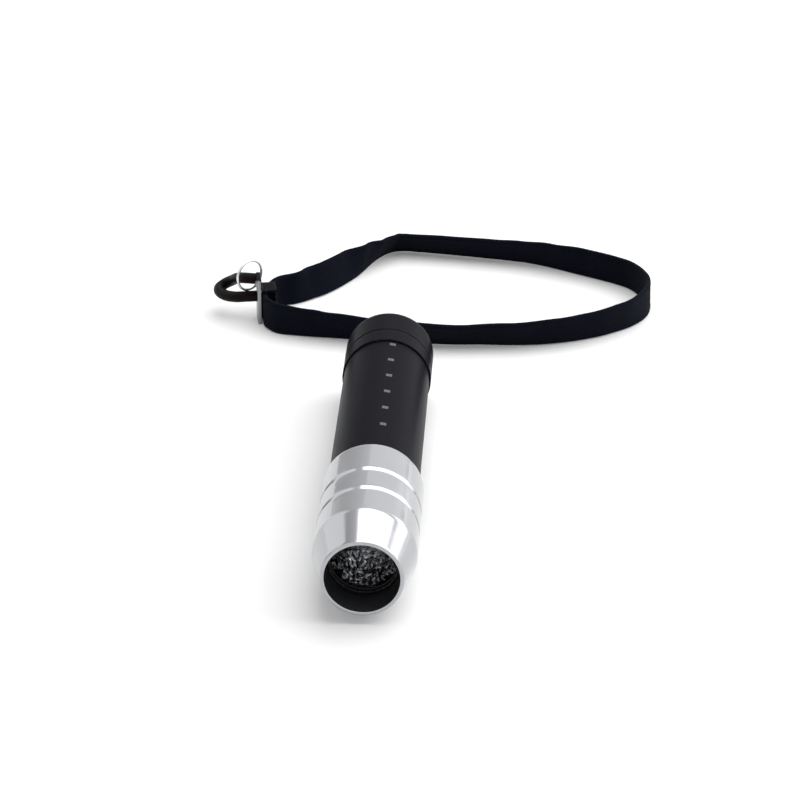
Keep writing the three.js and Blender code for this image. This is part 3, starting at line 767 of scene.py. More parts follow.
def ring_section(inner: float, outer: float, front: float, rear: float, ease: float = 0.1) -> tuple:
    """The section of a plain ring or tube with rounded corners."""
    corners = ((inner, front), (outer, front), (outer, rear), (inner, rear))
    return tuple((*corner, ease) for corner in corners)


def disc_section(radius: float, front: float, rear: float, ease: float = 0.1) -> tuple:
    """The section of a plain disc or rod with rounded rims."""
    return ((0, front), (radius, front, ease), (radius, rear, ease), (0, rear))


def cord_section(inner: float, outer: float, front: float, rear: float, sides: int = 16) -> tuple:
    """The round section of a sealing ring between two radii and two stations."""
    middle = ((inner + outer) / 2, (front + rear) / 2)
    half = ((outer - inner) / 2, (rear - front) / 2)
    angles = [2 * math.pi * i / sides for i in range(sides)]
    return tuple(
        (middle[0] + half[0] * math.cos(a), middle[1] + half[1] * math.sin(a)) for a in angles
    )


def dress_node(name: str, finish: Finish) -> None:
    """Gives a plain node that stays in view its finish.

    Args:
        name: The node's name.
        finish: The finish for all of it.
    """
    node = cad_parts[name]
    node.data.materials.clear()
    node.data.materials.append(finish.material())
    LOG.info("%s: dressed in %s", name, finish.name)


class SmoothRoute:
    """A smooth curve through points, drawn as the strap's solid is, and read at even distances."""

    def __init__(self, points: Sequence[Sequence[float]], samples: int = 24) -> None:
        """Samples the curve finely.

        Args:
            points: The points that it passes through, in millimetres.
            samples: How many fine steps there are between two points.
        """
        spots = [Vector(p) for p in points]
        spots = [2 * spots[0] - spots[1], *spots, 2 * spots[-1] - spots[-2]]
        self.fine: list[Vector] = [spots[1]]
        for group in zip(spots, spots[1:], spots[2:], spots[3:]):
            self.fine += [self.between(group, (i + 1) / samples) for i in range(samples)]
        self.reach = [0.0]
        for start, end in zip(self.fine, self.fine[1:]):
            self.reach.append(self.reach[-1] + (end - start).length)

    @staticmethod
    def between(group: Sequence[Vector], share: float) -> Vector:
        """The point at a share of the way from the second to the third of four points.

        Args:
            group: Four points in a row.
            share: The share of the way.

        Returns:
            The point on the curve.
        """
        knots = [0.0]
        for start, end in zip(group, group[1:]):
            knots.append(knots[-1] + max(1e-6, (end - start).length) ** 0.5)
        at = knots[1] + share * (knots[2] - knots[1])
        row = list(group)
        for level in (1, 2):
            row = [
                row[i].lerp(row[i + 1], (at - knots[i]) / (knots[i + level] - knots[i]))
                for i in range(len(row) - 1)
            ]
        return row[0].lerp(row[1], share)

    @property
    def length(self) -> float:
        """The curve's length in millimetres."""
        return self.reach[-1]

    def at(self, distance: float) -> Vector:
        """The point at a distance along the curve.

        Args:
            distance: How far along, in millimetres.

        Returns:
            The point, in millimetres.
        """
        for i in range(1, len(self.reach)):
            if self.reach[i] >= distance or i == len(self.reach) - 1:
                step = self.reach[i] - self.reach[i - 1]
                share = (distance - self.reach[i - 1]) / step
                return self.fine[i - 1].lerp(self.fine[i], min(1.0, max(0.0, share)))
        return self.fine[-1].copy()

    def heading(self, distance: float, reach: float = 0.4) -> Vector:
        """The direction of the curve at a distance along it."""
        ahead = self.at(min(self.length, distance + reach))
        return (ahead - self.at(max(0.0, distance - reach))).normalized()


@dataclass
class PhotoView:
    """The camera where the photograph was taken from."""

    target: tuple[float, float, float] = (6.042, -3.35, 30.582)
    azimuth: float = 2.858
    elevation: float = 26.263
    distance: float = 756.761
    lens: float = 135.15

    def build(self) -> bpy.types.Object:
        """Makes the camera and hands it to the scene.

        Returns:
            The camera.
        """
        data = bpy.data.cameras.new("photo_camera")
        data.lens = self.lens
        data.sensor_width = 36.0
        data.clip_start = 0.05
        camera = bpy.data.objects.new("photo_camera", data)
        bpy.context.scene.collection.objects.link(camera)
        turn = math.radians(self.azimuth)
        rise = math.radians(self.elevation)
        back = Vector((math.sin(turn) * math.cos(rise), -math.cos(turn) * math.cos(rise), math.sin(rise)))
        camera.location = (Vector(self.target) + self.distance * back) * MM
        camera.rotation_euler = back.to_track_quat("Z", "Y").to_euler()
        bpy.context.scene.camera = camera
        return camera


@dataclass
class Softbox:
    """A large lamp that hangs over the floor and faces a point on it."""

    name: str
    place: tuple[float, float, float]
    aim: tuple[float, float, float]
    size: tuple[float, float]
    brightness: float

    def build(self) -> bpy.types.Object:
        """Hangs the lamp.

        Returns:
            The lamp.
        """
        data = bpy.data.lights.new(self.name, "AREA")
        data.shape = "RECTANGLE"
        data.size, data.size_y = self.size
        data.energy = self.brightness * math.pi * self.size[0] * self.size[1]
        lamp = bpy.data.objects.new(self.name, data)
        lamp.location = self.place
        facing = Vector(self.aim) - Vector(self.place)
        lamp.rotation_euler = facing.to_track_quat("-Z", "Y").to_euler()
        bpy.context.scene.collection.objects.link(lamp)
        return lamp


@dataclass
class Studio:
    """A white floor without an edge, a white surround and soft lamps."""

    floor_size: float = 5.0
    floor_white: float = 0.8
    floor_lift: float = 0.13
    floor_fade: tuple[float, float] = (0.5, 1.3)
    surround_fill: float = 0.34
    surround_shade: float = 0.6
    shade_reach: tuple[float, float] = (-0.5, -0.1)
    front_reach: tuple[float, float] = (-0.3, 0.1)
    lamps: tuple[Softbox, ...] = (
        Softbox("overhead_box", (0.95, 0.36, 1.0), (0.95, 0.36, 0.0), (2.4, 1.6), 2.5),
        Softbox("right_box", (1.7, 1.55, 0.55), (0.0, 0.0, 0.1), (1.5, 0.9), 1.5),
        Softbox("side_box", (1.75, -0.05, 0.62), (0.0, -0.05, 0.1), (1.0, 0.7), 1.4),
        Softbox("left_box", (-1.3, 1.35, 0.69), (0.0, 0.0, 0.1), (1.0, 1.35), 0.76),
        Softbox("back_box", (0.5, 2.2, 0.75), (0.0, 0.0, 0.1), (1.4, 1.1), 0.3),
        Softbox("groove_box", (-1.28, 0.02, 1.2), (0.0, 0.0, 0.1), (0.6, 1.3), 0.8),
    )

    def build(self) -> None:
        """Lays the floor, lights it and sets the view."""
        scene = bpy.context.scene
        scene.view_settings.view_transform = "Standard"
        for lamp in self.lamps:
            lamp.build()
        self.light_surround(scene)
        self.lay_floor(scene)

    def seen_share(self, tree: bpy.types.NodeTree) -> bpy.types.NodeSocket:
        """Is 1 for what the camera, a reflection or a clear piece sees, and 0 for what lights a surface.

        Args:
            tree: The node tree to add to.

        Returns:
            The share's socket.
        """
        path = tree.nodes.new("ShaderNodeLightPath")
        share = path.outputs["Is Camera Ray"]
        for name in ("Is Glossy Ray", "Is Transmission Ray"):
            most = tree.nodes.new("ShaderNodeMath")
            most.operation = "MAXIMUM"
            tree.links.new(share, most.inputs[0])
            tree.links.new(path.outputs[name], most.inputs[1])
            share = most.outputs[0]
        return share

    def light_surround(self, scene: bpy.types.Scene) -> None:
        """Makes the world white to look at and a plain fill for surfaces.

        Args:
            scene: The scene to light.
        """
        world = bpy.data.worlds.new("white_surround")
        world.use_nodes = True
        tree = world.node_tree
        strength = tree.nodes.new("ShaderNodeMapRange")
        tree.links.new(self.seen_share(tree), strength.inputs["Value"])
        strength.inputs["To Min"].default_value = self.surround_fill
        heading = tree.nodes.new("ShaderNodeTexCoord")
        axes = tree.nodes.new("ShaderNodeSeparateXYZ")
        tree.links.new(heading.outputs["Generated"], axes.inputs["Vector"])
        front = tree.nodes.new("ShaderNodeMapRange")
        tree.links.new(axes.outputs["Y"], front.inputs["Value"])
        front.inputs["From Min"].default_value, front.inputs["From Max"].default_value = self.front_reach
        front.inputs["To Min"].default_value, front.inputs["To Max"].default_value = 1.0, 0.0
        side = tree.nodes.new("ShaderNodeMath")
        tree.links.new(axes.outputs["X"], side.inputs[0])
        tree.links.new(front.outputs["Result"], side.inputs[1])
        shade = tree.nodes.new("ShaderNodeMapRange")
        tree.links.new(side.outputs["Value"], shade.inputs["Value"])
        shade.inputs["From Min"].default_value, shade.inputs["From Max"].default_value = self.shade_reach
        shade.inputs["To Min"].default_value = self.surround_shade
        tree.links.new(shade.outputs["Result"], strength.inputs["To Max"])
        background = tree.nodes["Background"]
        background.inputs["Color"].default_value = (1.0, 1.0, 1.0, 1.0)
        tree.links.new(strength.outputs["Result"], background.inputs["Strength"])
        scene.world = world

    def lay_floor(self, scene: bpy.types.Scene) -> None:
        """Lays the floor, which stays white to look at and keeps the shadow.

        Args:
            scene: The scene to add it to.
        """
        bm = bmesh.new()
        bmesh.ops.create_grid(bm, x_segments=2, y_segments=2, size=self.floor_size / 2)
        bmesh.ops.translate(bm, verts=bm.verts[:], vec=(0, 0, -0.05 * MM))
        mesh = bpy.data.meshes.new("floor")
        bm.to_mesh(mesh)
        bm.free()
        graph = Graph("floor_white")
        seen = self.seen_share(graph.tree)
        paper = graph.noise(graph.place(), 700, 3)
        away = graph.add("VectorMath", {0: graph.place()}, operation="LENGTH").outputs["Value"]
        lift = graph.sum("MULTIPLY", seen, graph.span(away, self.floor_lift, 1.0, *self.floor_fade))
        white = (self.floor_white,) * 3
        graph.shade(
            Base_Color=graph.blend(paper, tint(white, 0.995), white),
            Roughness=0.9,
            Specular_IOR_Level=0.0,
            Emission_Color=(1.0, 1.0, 1.0, 1.0),
            Emission_Strength=lift,
        )
        mesh.materials.append(graph.material)
        floor = bpy.data.objects.new("floor", mesh)
        scene.collection.objects.link(floor)


@dataclass
class WristStrap:
    """The loose strap behind the tail, with its crimp, its stiff cord loop and the loop's ring."""

    width: float = 9.5
    thickness: float = 1.3
    gap: float = 0.3
    crimp_length: float = 6.0
    crimp_top: float = 0.9
    crimp_cheek: float = 0.8
    crimp_plate: float = 1.2
    crimp_height: float = 14.0
    crimp_inset: float = 0.4
    crimp_turn: float = 100.0
    crimp_place: tuple[float, float] = (-38.1, 46.0)
    cord: float = 3.2
    ring_wire: float = 0.8
    ring_bore: float = 8.0
    ring_place: tuple[float, float, float] = (-43.2, 47.5, 13.4)
    ring_turn: float = -45.0
    steps: int = 260
    route: tuple[tuple[float, float], ...] = (
        (-37.9, 41),
        (-36.9, 39.5),
        (-35.7, 38.05),
        (-34.4, 37.05),
        (-32.3, 36.35),
        (-30, 35.95),
        (-27.7, 35.55),
        (-23.3, 34.95),
        (-19, 34.45),
        (-8, 33.3),
        (4, 32.4),
        (15.5, 31.7),
        (24, 32.1),
        (32.5, 32.1),
        (41, 32.95),
        (49.4, 35.3),
        (57.9, 39.35),
        (62.2, 42.4),
        (66.5, 46),
        (70.6, 51.6),
        (72.3, 57),
        (72.2, 63.6),
        (67.9, 72.7),
        (63.5, 76.5),
        (59, 79.3),
        (50, 84.3),
        (41, 89.1),
        (36.3, 90.95),
        (31.7, 92.15),
        (22.6, 94.05),
        (13.3, 95.85),
        (4.1, 97.35),
        (-0.6, 98),
        (-4.5, 97),
        (-7.4, 94.2),
        (-10.4, 88.6),
        (-12.9, 81.8),
        (-15.9, 74.9),
        (-21.8, 65.6),
        (-25.8, 61.5),
        (-29.4, 58.7),
        (-31.5, 57.4),
        (-33.6, 56.7),
        (-35.2, 55.9),
        (-36.6, 54.3),
        (-37.6, 51.9),
    )
    lean: tuple[tuple[float, float], ...] = (
        (0, 0),
        (10, 0),
        (23.5, -13),
        (29, -19),
        (46, -30),
        (66, -34),
        (80, -28),
        (93, -20),
        (102, -16),
        (113, -11),
        (128, 0),
        (140, 4),
        (153, 9),
        (164, 10),
        (174, 19),
        (184, 28),
        (193, 32),
        (207, 35),
        (221, 38),
        (229, 36),
        (236, 30),
        (243, 12),
        (252, -12),
        (261, -16),
        (267, -17),
        (273, -4),
        (280, 0),
        (400, 0),
    )
    loop_route: tuple[tuple[float, float, float], ...] = (
        (-43.95, 45.8, 7.4),
        (-47.4, 46.2, 7),
        (-50.4, 47.6, 6.8),
        (-52.3, 49.7, 7),
        (-52.5, 51.9, 7.3),
        (-51, 53.3, 8),
        (-48.8, 52.6, 9.4),
        (-46.8, 50, 11.3),
        (-44.3, 47.4, 12.5),
    )
    loop_ends: tuple[tuple[float, float], ...] = ((0.8, 7.4), (2.0, 12.3))

    @property
    def half_room(self) -> float:
        """Half the room in the crimp for the band's two lapped ends."""
        return self.thickness + 1.5 * self.gap

    def from_crimp(self, along: float, aside: float) -> tuple[float, float]:
        """A place in the crimp's own axes as across and behind the tail's end.

        Args:
            along: How far along the crimp from its middle.
            aside: How far to its outside.

        Returns:
            The place across, and behind the tail's end.
        """
        turn = math.radians(self.crimp_turn)
        x = self.crimp_place[0] + along * math.cos(turn) - aside * math.sin(turn)
        return x, self.crimp_place[1] + along * math.sin(turn) + aside * math.cos(turn)

    def row(self, x: float, behind: float, z: float) -> Vector:
        """A place behind the tail's end in the row frame, still in millimetres."""
        return Vector((x, behind + TORCH_LENGTH / 2, z))

    def leaning(self, distance: float) -> float:
        """How far the band leans at a distance along it, in radians."""
        for (start, low), (end, high) in zip(self.lean, self.lean[1:]):
            if distance <= end:
                share = (distance - start) / (end - start)
                eased = share * share * (3 - 2 * share)
                return math.radians(low + (high - low) * eased)
        return 0.0

    def band_section(self) -> list[tuple[float, float]]:
        """The band's section: flat faces, a thicker woven edge above and below."""
        half = self.thickness / 2
        soft = 0.35
        side = [(half, soft), (half + 0.06, 1.0), (half - 0.03, 1.7), (half, 2.4)]
        side += [(half, self.width - 2.4), (half - 0.03, self.width - 1.7)]
        side += [(half + 0.06, self.width - 1.0), (half, self.width - soft)]
        section = [*side, (half - soft, self.width), (soft - half, self.width)]
        section += [(-across, up) for across, up in reversed(side)]
        return section + [(soft - half, 0), (half - soft, 0)]

    def build_band(self) -> bpy.types.Object:
        """Draws the woven band along its route, standing on its edge.

        Returns:
            The band.
        """
        inset = (self.thickness + self.gap) / 2
        deep = self.crimp_length / 2 - self.crimp_inset
        out = self.crimp_length / 2 + self.gap
        near = [self.from_crimp(along, inset) for along in (deep, -out)]
        far = [self.from_crimp(along, -inset) for along in (out, -deep)]
        route = SmoothRoute([self.row(x, y, 0) for x, y in (*near, *self.route, *far)])
        half = self.thickness / 2
        places, runs, middles = [], [], []
        for i in range(self.steps + 1):
            distance = route.length * i / self.steps
            ahead = route.heading(distance)
            lean = self.leaning(distance)
            aside = Vector((-ahead.y, ahead.x, 0))
            up = Vector((0, 0, 1)) * math.cos(lean) + aside * math.sin(lean)
            side = aside * math.cos(lean) - Vector((0, 0, 1)) * math.sin(lean)
            base = route.at(distance) + Vector((0, 0, abs(math.sin(lean)) * half))
            axes = Matrix((side, up, ahead)).transposed().to_4x4()
            places.append(Matrix.Translation(base * MM) @ axes)
            runs.append(distance * MM)
            middles.append((base + up * self.width / 2) * MM)
        shape = Shape().sweep(self.band_section(), places, runs)
        band = shape.piece("strap_band", [STRAP_WEBBING], Body.STRAP, "strap_webbing", ["wrist_strap"])
        return band

    def build_loop(self) -> bpy.types.Object:
        """Draws the stiff cord from the crimp's plate, round and to it again.

        Returns:
            The cord.
        """
        face = self.half_room + self.crimp_plate
        ends = [self.row(*self.from_crimp(along, face), z) for along, z in self.loop_ends]
        route = SmoothRoute([ends[0], *(self.row(*p) for p in self.loop_route), ends[1]])
        sides = 20
        angles = [2 * math.pi * i / sides for i in range(sides)]
        section = [(self.cord / 2 * math.cos(a), self.cord / 2 * math.sin(a)) for a in angles]
        steps = 96
        places, runs, middles = [], [], []
        side = Vector((0.3, -0.6, 0.75))
        for i in range(steps + 1):
            distance = route.length * i / steps
            ahead = route.heading(distance)
            side = (side - ahead * side.dot(ahead)).normalized()
            axes = Matrix((side, ahead.cross(side), ahead)).transposed().to_4x4()
            places.append(Matrix.Translation(route.at(distance) * MM) @ axes)
            runs.append(distance * MM)
            middles.append(route.at(distance) * MM)
        shape = Shape().sweep(section, places, runs)
        cord = shape.piece("stiff_loop", [LOOP_CORD], Body.STRAP, "loop_cord", ["cord_loop"])
        return cord

    def build_crimp(self) -> bpy.types.Object:
        """Folds the crimp over the band's lapped ends, with a taller plate outside for the cord.

        Returns:
            The crimp.
        """
        room = self.half_room
        plate = room + self.crimp_plate
        cheek = room + self.crimp_cheek
        roof = self.width + self.gap
        top = roof + self.crimp_top
        section = ((-plate, 0), (-room, 0), (-room, roof), (room, roof), (room, 0), (cheek, 0))
        section += ((cheek, top), (-room, top), (-room, self.crimp_height), (-plate, self.crimp_height))
        bm = bmesh.new()
        half = self.crimp_length / 2
        verts = [bm.verts.new((x * MM, -half * MM, z * MM)) for x, z in section]
        end = bm.faces.new(verts)
        pulled = bmesh.ops.extrude_face_region(bm, geom=[end])["geom"]
        far = [g for g in pulled if isinstance(g, bmesh.types.BMVert)]
        bmesh.ops.translate(bm, verts=far, vec=(0, self.crimp_length * MM, 0))
        bmesh.ops.recalc_face_normals(bm, faces=bm.faces[:])
        bm.normal_update()
        corners = [e for e in bm.edges if e.calc_face_angle(0.0) > 0.5]
        bmesh.ops.bevel(
            bm,
            geom=corners,
            offset=0.24 * MM,
            offset_type="OFFSET",
            segments=3,
            profile=0.5,
            affect="EDGES",
            material=-1,
        )
        cut = {"plane_co": (-room * MM, 0, 0), "plane_no": (1, 0, 0)}
        bmesh.ops.bisect_plane(bm, geom=bm.verts[:] + bm.edges[:] + bm.faces[:], dist=1e-7, **cut)
        broad = [f for f in bm.faces if len(f.verts) == 4 and f.calc_area() > 12 * MM * MM]
        bmesh.ops.inset_individual(bm, faces=broad, thickness=0.5 * MM, use_even_offset=True)
        # Painted highlight: the plate's faces beside and below the band take the bright metal of the second finish.
        for face in bm.faces:
            middle = face.calc_center_median()
            if middle.x < (-room - 0.1) * MM and middle.z < roof * MM:
                face.material_index = 1
        spot = self.row(*self.crimp_place, 0) * MM
        turn = Matrix.Rotation(math.radians(self.crimp_turn - 90), 4, "Z")
        bmesh.ops.transform(bm, matrix=Matrix.Translation(spot) @ turn, verts=bm.verts[:])
        shape = Shape()
        shape.absorb(bm)
        finishes = [DARK_PLATING, CRIMP_PAINTED_HIGHLIGHT]
        return shape.piece("folded_crimp", finishes, Body.STRAP, "crimp_metal", ["strap_crimp"])

    def build_ring(self) -> bpy.types.Object:
        """Spins the thin steel ring round one leg of the cord loop.

        Returns:
            The ring.
        """
        bm = bmesh.new()
        wire = bmesh.ops.create_circle(bm, cap_ends=False, segments=14, radius=self.ring_wire / 2 * MM)
        middle = (self.ring_bore + self.ring_wire) / 2 * MM
        bmesh.ops.translate(bm, verts=wire["verts"], vec=(middle, 0, 0))
        bmesh.ops.spin(
            bm,
            geom=bm.verts[:] + bm.edges[:],
            cent=(0, 0, 0),
            axis=(0, 1, 0),
            dvec=(0, 0, 0),
            angle=2 * math.pi,
            steps=96,
            use_merge=True,
            use_duplicate=False,
        )
        bmesh.ops.recalc_face_normals(bm, faces=bm.faces[:])
        turn = Matrix.Rotation(math.radians(90 + self.ring_turn), 4, "Z")
        spot = self.row(*self.ring_place) * MM
        bmesh.ops.transform(bm, matrix=Matrix.Translation(spot) @ turn, verts=bm.verts[:])
        shape = Shape()
        shape.absorb(bm)
        return shape.piece("thin_ring", [PLATED_STEEL], Body.STRAP, "plated_steel", ["loop_ring"])

    def build(self) -> None:
        """Builds the strap and all that is on it."""
        self.build_band()
        self.build_loop()
        self.build_crimp()
        self.build_ring()


@dataclass
class Nose:
    """The bright tapered nose with its black mouth, and the window that it holds."""

    mouth: float = 9.1
    rim: float = 0.9
    head: float = 12.67
    length: float = 11.8
    spigot: float = 11.3
    spigot_rear: float = 17.7
    seal_front: float = 12.7
    seal_rear: float = 14.1
    seal_floor: float = 10.6
    window: float = 8.9
    recess: float = 8.6
    retainer_rear: float = 9.7
    retainer_width: float = 0.5
    lens_front: float = 10.5
    lens_rear: float = 12.0

    def build_bezel(self) -> bpy.types.Object:
        """Turns the nose: bright outside, black in its mouth, threaded behind its sealing ring.

        Returns:
            The nose.
        """
        core = self.spigot - 0.35
        shape = Shape().turn(
            (
                (self.mouth, 0.0, 0.16),
                (self.mouth + self.rim, 0.0, 0.34),
                (self.head, self.length, 0.06),
                (self.spigot, self.length, 0.1),
                (self.spigot, self.seal_front, 0.08),
                (self.seal_floor, self.seal_front, 0.08),
                (self.seal_floor, self.seal_rear, 0.08),
                (self.spigot, self.seal_rear, 0.08),
                (self.spigot, self.seal_rear + 0.4, 0.08),
                (core, self.seal_rear + 0.6),
                (core, self.spigot_rear, 0.15),
                (self.mouth, self.spigot_rear),
            )
        )
        shape.thread(self.spigot, self.seal_rear + 0.7, self.spigot_rear, 0.75)
        edge = self.mouth + 0.02
        shape.paint(1, lambda radius, station, normal: radius < edge and station > 0.3)
        finishes = [BRIGHT_ALUMINIUM, MOUTH_BLACK]
        return shape.piece("bright_nose", finishes, Body.NOSE, "bright_aluminium", ["nose_bezel"])

    def build_retainer(self) -> bpy.types.Object:
        """Turns the ring in front of the window and cuts its two spanner notches.

        Returns:
            The ring.
        """
        inner = self.window - self.retainer_width
        shape = Shape().turn(ring_section(inner, self.window, self.recess, self.retainer_rear, 0.08))
        notch = [
            f
            for f in shape.bm.faces
            if f.normal.y < -0.9 and abs(f.calc_center_median().z - AXIS_HEIGHT * MM) < 0.7 * MM
        ]
        sunk = bmesh.ops.extrude_face_region(shape.bm, geom=notch)["geom"]
        low = [g for g in sunk if isinstance(g, bmesh.types.BMVert)]
        bmesh.ops.translate(shape.bm, verts=low, vec=(0, 0.5 * MM, 0))
        bmesh.ops.delete(shape.bm, geom=[f for f in notch if f.is_valid], context="FACES_ONLY")
        return shape.piece("notched_ring", [RING_BLACK], Body.NOSE, "black_ring", ["lens_retainer"])

    def build(self) -> None:
        """Builds the nose and all that it holds."""
        self.build_bezel()
        self.build_retainer()
        seal = cord_section(self.seal_floor + 0.12, 11.38, self.seal_front + 0.12, self.seal_rear - 0.12)
        gasket = ring_section(self.window - 0.75, self.window, 9.8, 10.4, 0.15)
        lens = disc_section(self.window, self.lens_front, self.lens_rear, 0.2)
        for turning in (
            Turning("bezel_seal", SEAL_RUBBER, Body.NOSE, "seal_rubber", seal),
            Turning("lens_gasket", SEAL_RUBBER, Body.WINDOW, "seal_rubber", gasket),
            Turning("lens", WINDOW_GLASS, Body.WINDOW, "window_glass", lens),
        ):
            turning.build()


@dataclass
class LightEngine:
    """The bowl, the light source, its heat sink and the driver behind it."""

    bowl_front: float = 12.1
    bowl_length: float = 10.0
    bowl_mouth: float = 8.45
    bowl_eye: float = 2.7
    bowl_rim: float = 8.9
    bowl_wall: float = 0.9
    flange: float = 1.2
    dimple: float = 0.72
    dimple_depth: float = 0.1

    def bowl_radius(self, share: float) -> float:
        """The bowl's inner radius at a share of the way from its mouth to its eye."""
        return math.sqrt(self.bowl_eye**2 + (self.bowl_mouth**2 - self.bowl_eye**2) * (1 - share))

    def build_bowl(self) -> bpy.types.Object:
        """Turns the parabolic bowl and presses its dimples.

        Returns:
            The bowl.
        """
        rings = 56
        inner = []
        outer = []
        for i in range(rings + 1):
            share = i / rings
            station = self.bowl_front + share * self.bowl_length
            inner.append((self.bowl_radius(share), station))
            if station > self.bowl_front + self.flange and i % 4 == 0:
                outer.append((min(self.bowl_rim, self.bowl_radius(share) + self.bowl_wall), station))
        rim = [(self.bowl_rim, self.bowl_front), (self.bowl_rim, self.bowl_front + self.flange)]
        shape = Shape().turn((*rim, *outer, *reversed(inner)), 288)
        shape.bm.normal_update()
        for vert in shape.bm.verts:
            station = vert.co.y / MM + TORCH_LENGTH / 2
            share = (station - self.bowl_front) / self.bowl_length
            radius = math.hypot(vert.co.x, vert.co.z - AXIS_HEIGHT * MM) / MM
            if 0.02 < share < 0.98 and abs(radius - self.bowl_radius(share)) < 0.05:
                lump = noise.noise(vert.co / (self.dimple * MM))
                vert.co += vert.normal * lump * self.dimple_depth * MM
        return shape.piece("dimpled_bowl", [BOWL_MIRROR], Body.HEAD, "reflector_mirror", ["reflector"])

    def build(self) -> None:
        """Builds the bowl, turns the round pieces again and dresses the rest."""
        self.build_bowl()
        arc = [math.radians(-90 + 90 * i / 10) for i in range(11)]
        dome = [(1.45 * math.cos(a), 22.5 + 1.45 * math.sin(a)) for a in arc]
        dome[0] = (0, dome[0][1])
        for turning in (
            Turning("led_dome", LIGHT_DOME, Body.HEAD, "led_silicone", (*dome, (0, 22.5))),
            Turning(
                "led_centring_ring", WHITE_PLASTIC, Body.HEAD, "white_plastic", ring_section(2.7, 4.2, 22.2, 23.4)
            ),
            Turning("driver_board", GREEN_MASK, Body.HEAD, "green_board", disc_section(8.0, 30.6, 31.6)),
            Turning("driver_retainer", BRASS, Body.HEAD, "plain_brass", ring_section(6.4, 8.0, 31.7, 33.3)),
        ):
            turning.build()
        for name, finish in (
            ("led_package", WHITE_PLASTIC),
            ("led_board", WHITE_MASK),
            ("heat_sink", BRASS),
            ("lead_positive", RED_SLEEVE),
            ("lead_negative", BLACK_SLEEVE),
            ("driver_coil", COIL_COPPER),
            ("driver_chip", BLACK_MOULDING),
            ("contact_spring", SPRING_WIRE),
        ):
            dress_node(name, finish)


@dataclass
class Head:
    """The bright grooved head."""

    radius: float = 12.67
    front: float = 11.86
    rear: float = 45.7
    front_bore: float = 11.5
    front_bore_end: float = 18.3
    middle_bore: float = 10.2
    rear_bore: float = 10.9
    rear_bore_start: float = 35.6
    seal_front: float = 42.4
    seal_rear: float = 44.0
    seal_floor: float = 11.8
    groove_width: float = 2.4
    groove_depth: float = 0.5
    groove_slope: float = 0.75
    grooves: tuple[float, ...] = (23.1, 32.95)

    def groove(self, centre: float) -> list[tuple[float, ...]]:
        """The corners of one turned groove, steep in front and sloping behind."""
        floor = self.radius - self.groove_depth
        start = centre - self.groove_width / 2
        slope = centre + self.groove_slope / 5
        return [
            (self.radius, start, 0.06),
            (floor, start + 0.4, 0.1),
            (floor, slope - self.groove_slope / 2, 0.12),
            (self.radius, slope + self.groove_slope / 2, 0.06),
        ]

    def build(self) -> None:
        """Turns the head and its sealing ring."""
        grooves = [corner for centre in self.grooves for corner in self.groove(centre)]
        shape = Shape().turn(
            (
                (self.radius, self.front, 0.06),
                *grooves,
                (self.radius, self.rear, 0.3),
                (self.rear_bore, self.rear, 0.12),
                (self.rear_bore, self.seal_rear, 0.05),
                (self.seal_floor, self.seal_rear),
                (self.seal_floor, self.seal_front),
                (self.rear_bore, self.seal_front, 0.05),
                (self.rear_bore, self.rear_bore_start),
                (self.middle_bore, self.rear_bore_start),
                (self.middle_bore, self.front_bore_end),
                (self.front_bore, self.front_bore_end),
                (self.front_bore, self.front, 0.1),
            )
        )
        shape.piece("grooved_head", [BRIGHT_ALUMINIUM], Body.HEAD, "bright_aluminium", ["head_shell"])
        seal = cord_section(10.82, 11.68, self.seal_front + 0.12, self.seal_rear - 0.12)
        Turning("head_seal", SEAL_RUBBER, Body.HEAD_CARRIER, "seal_rubber", seal).build()


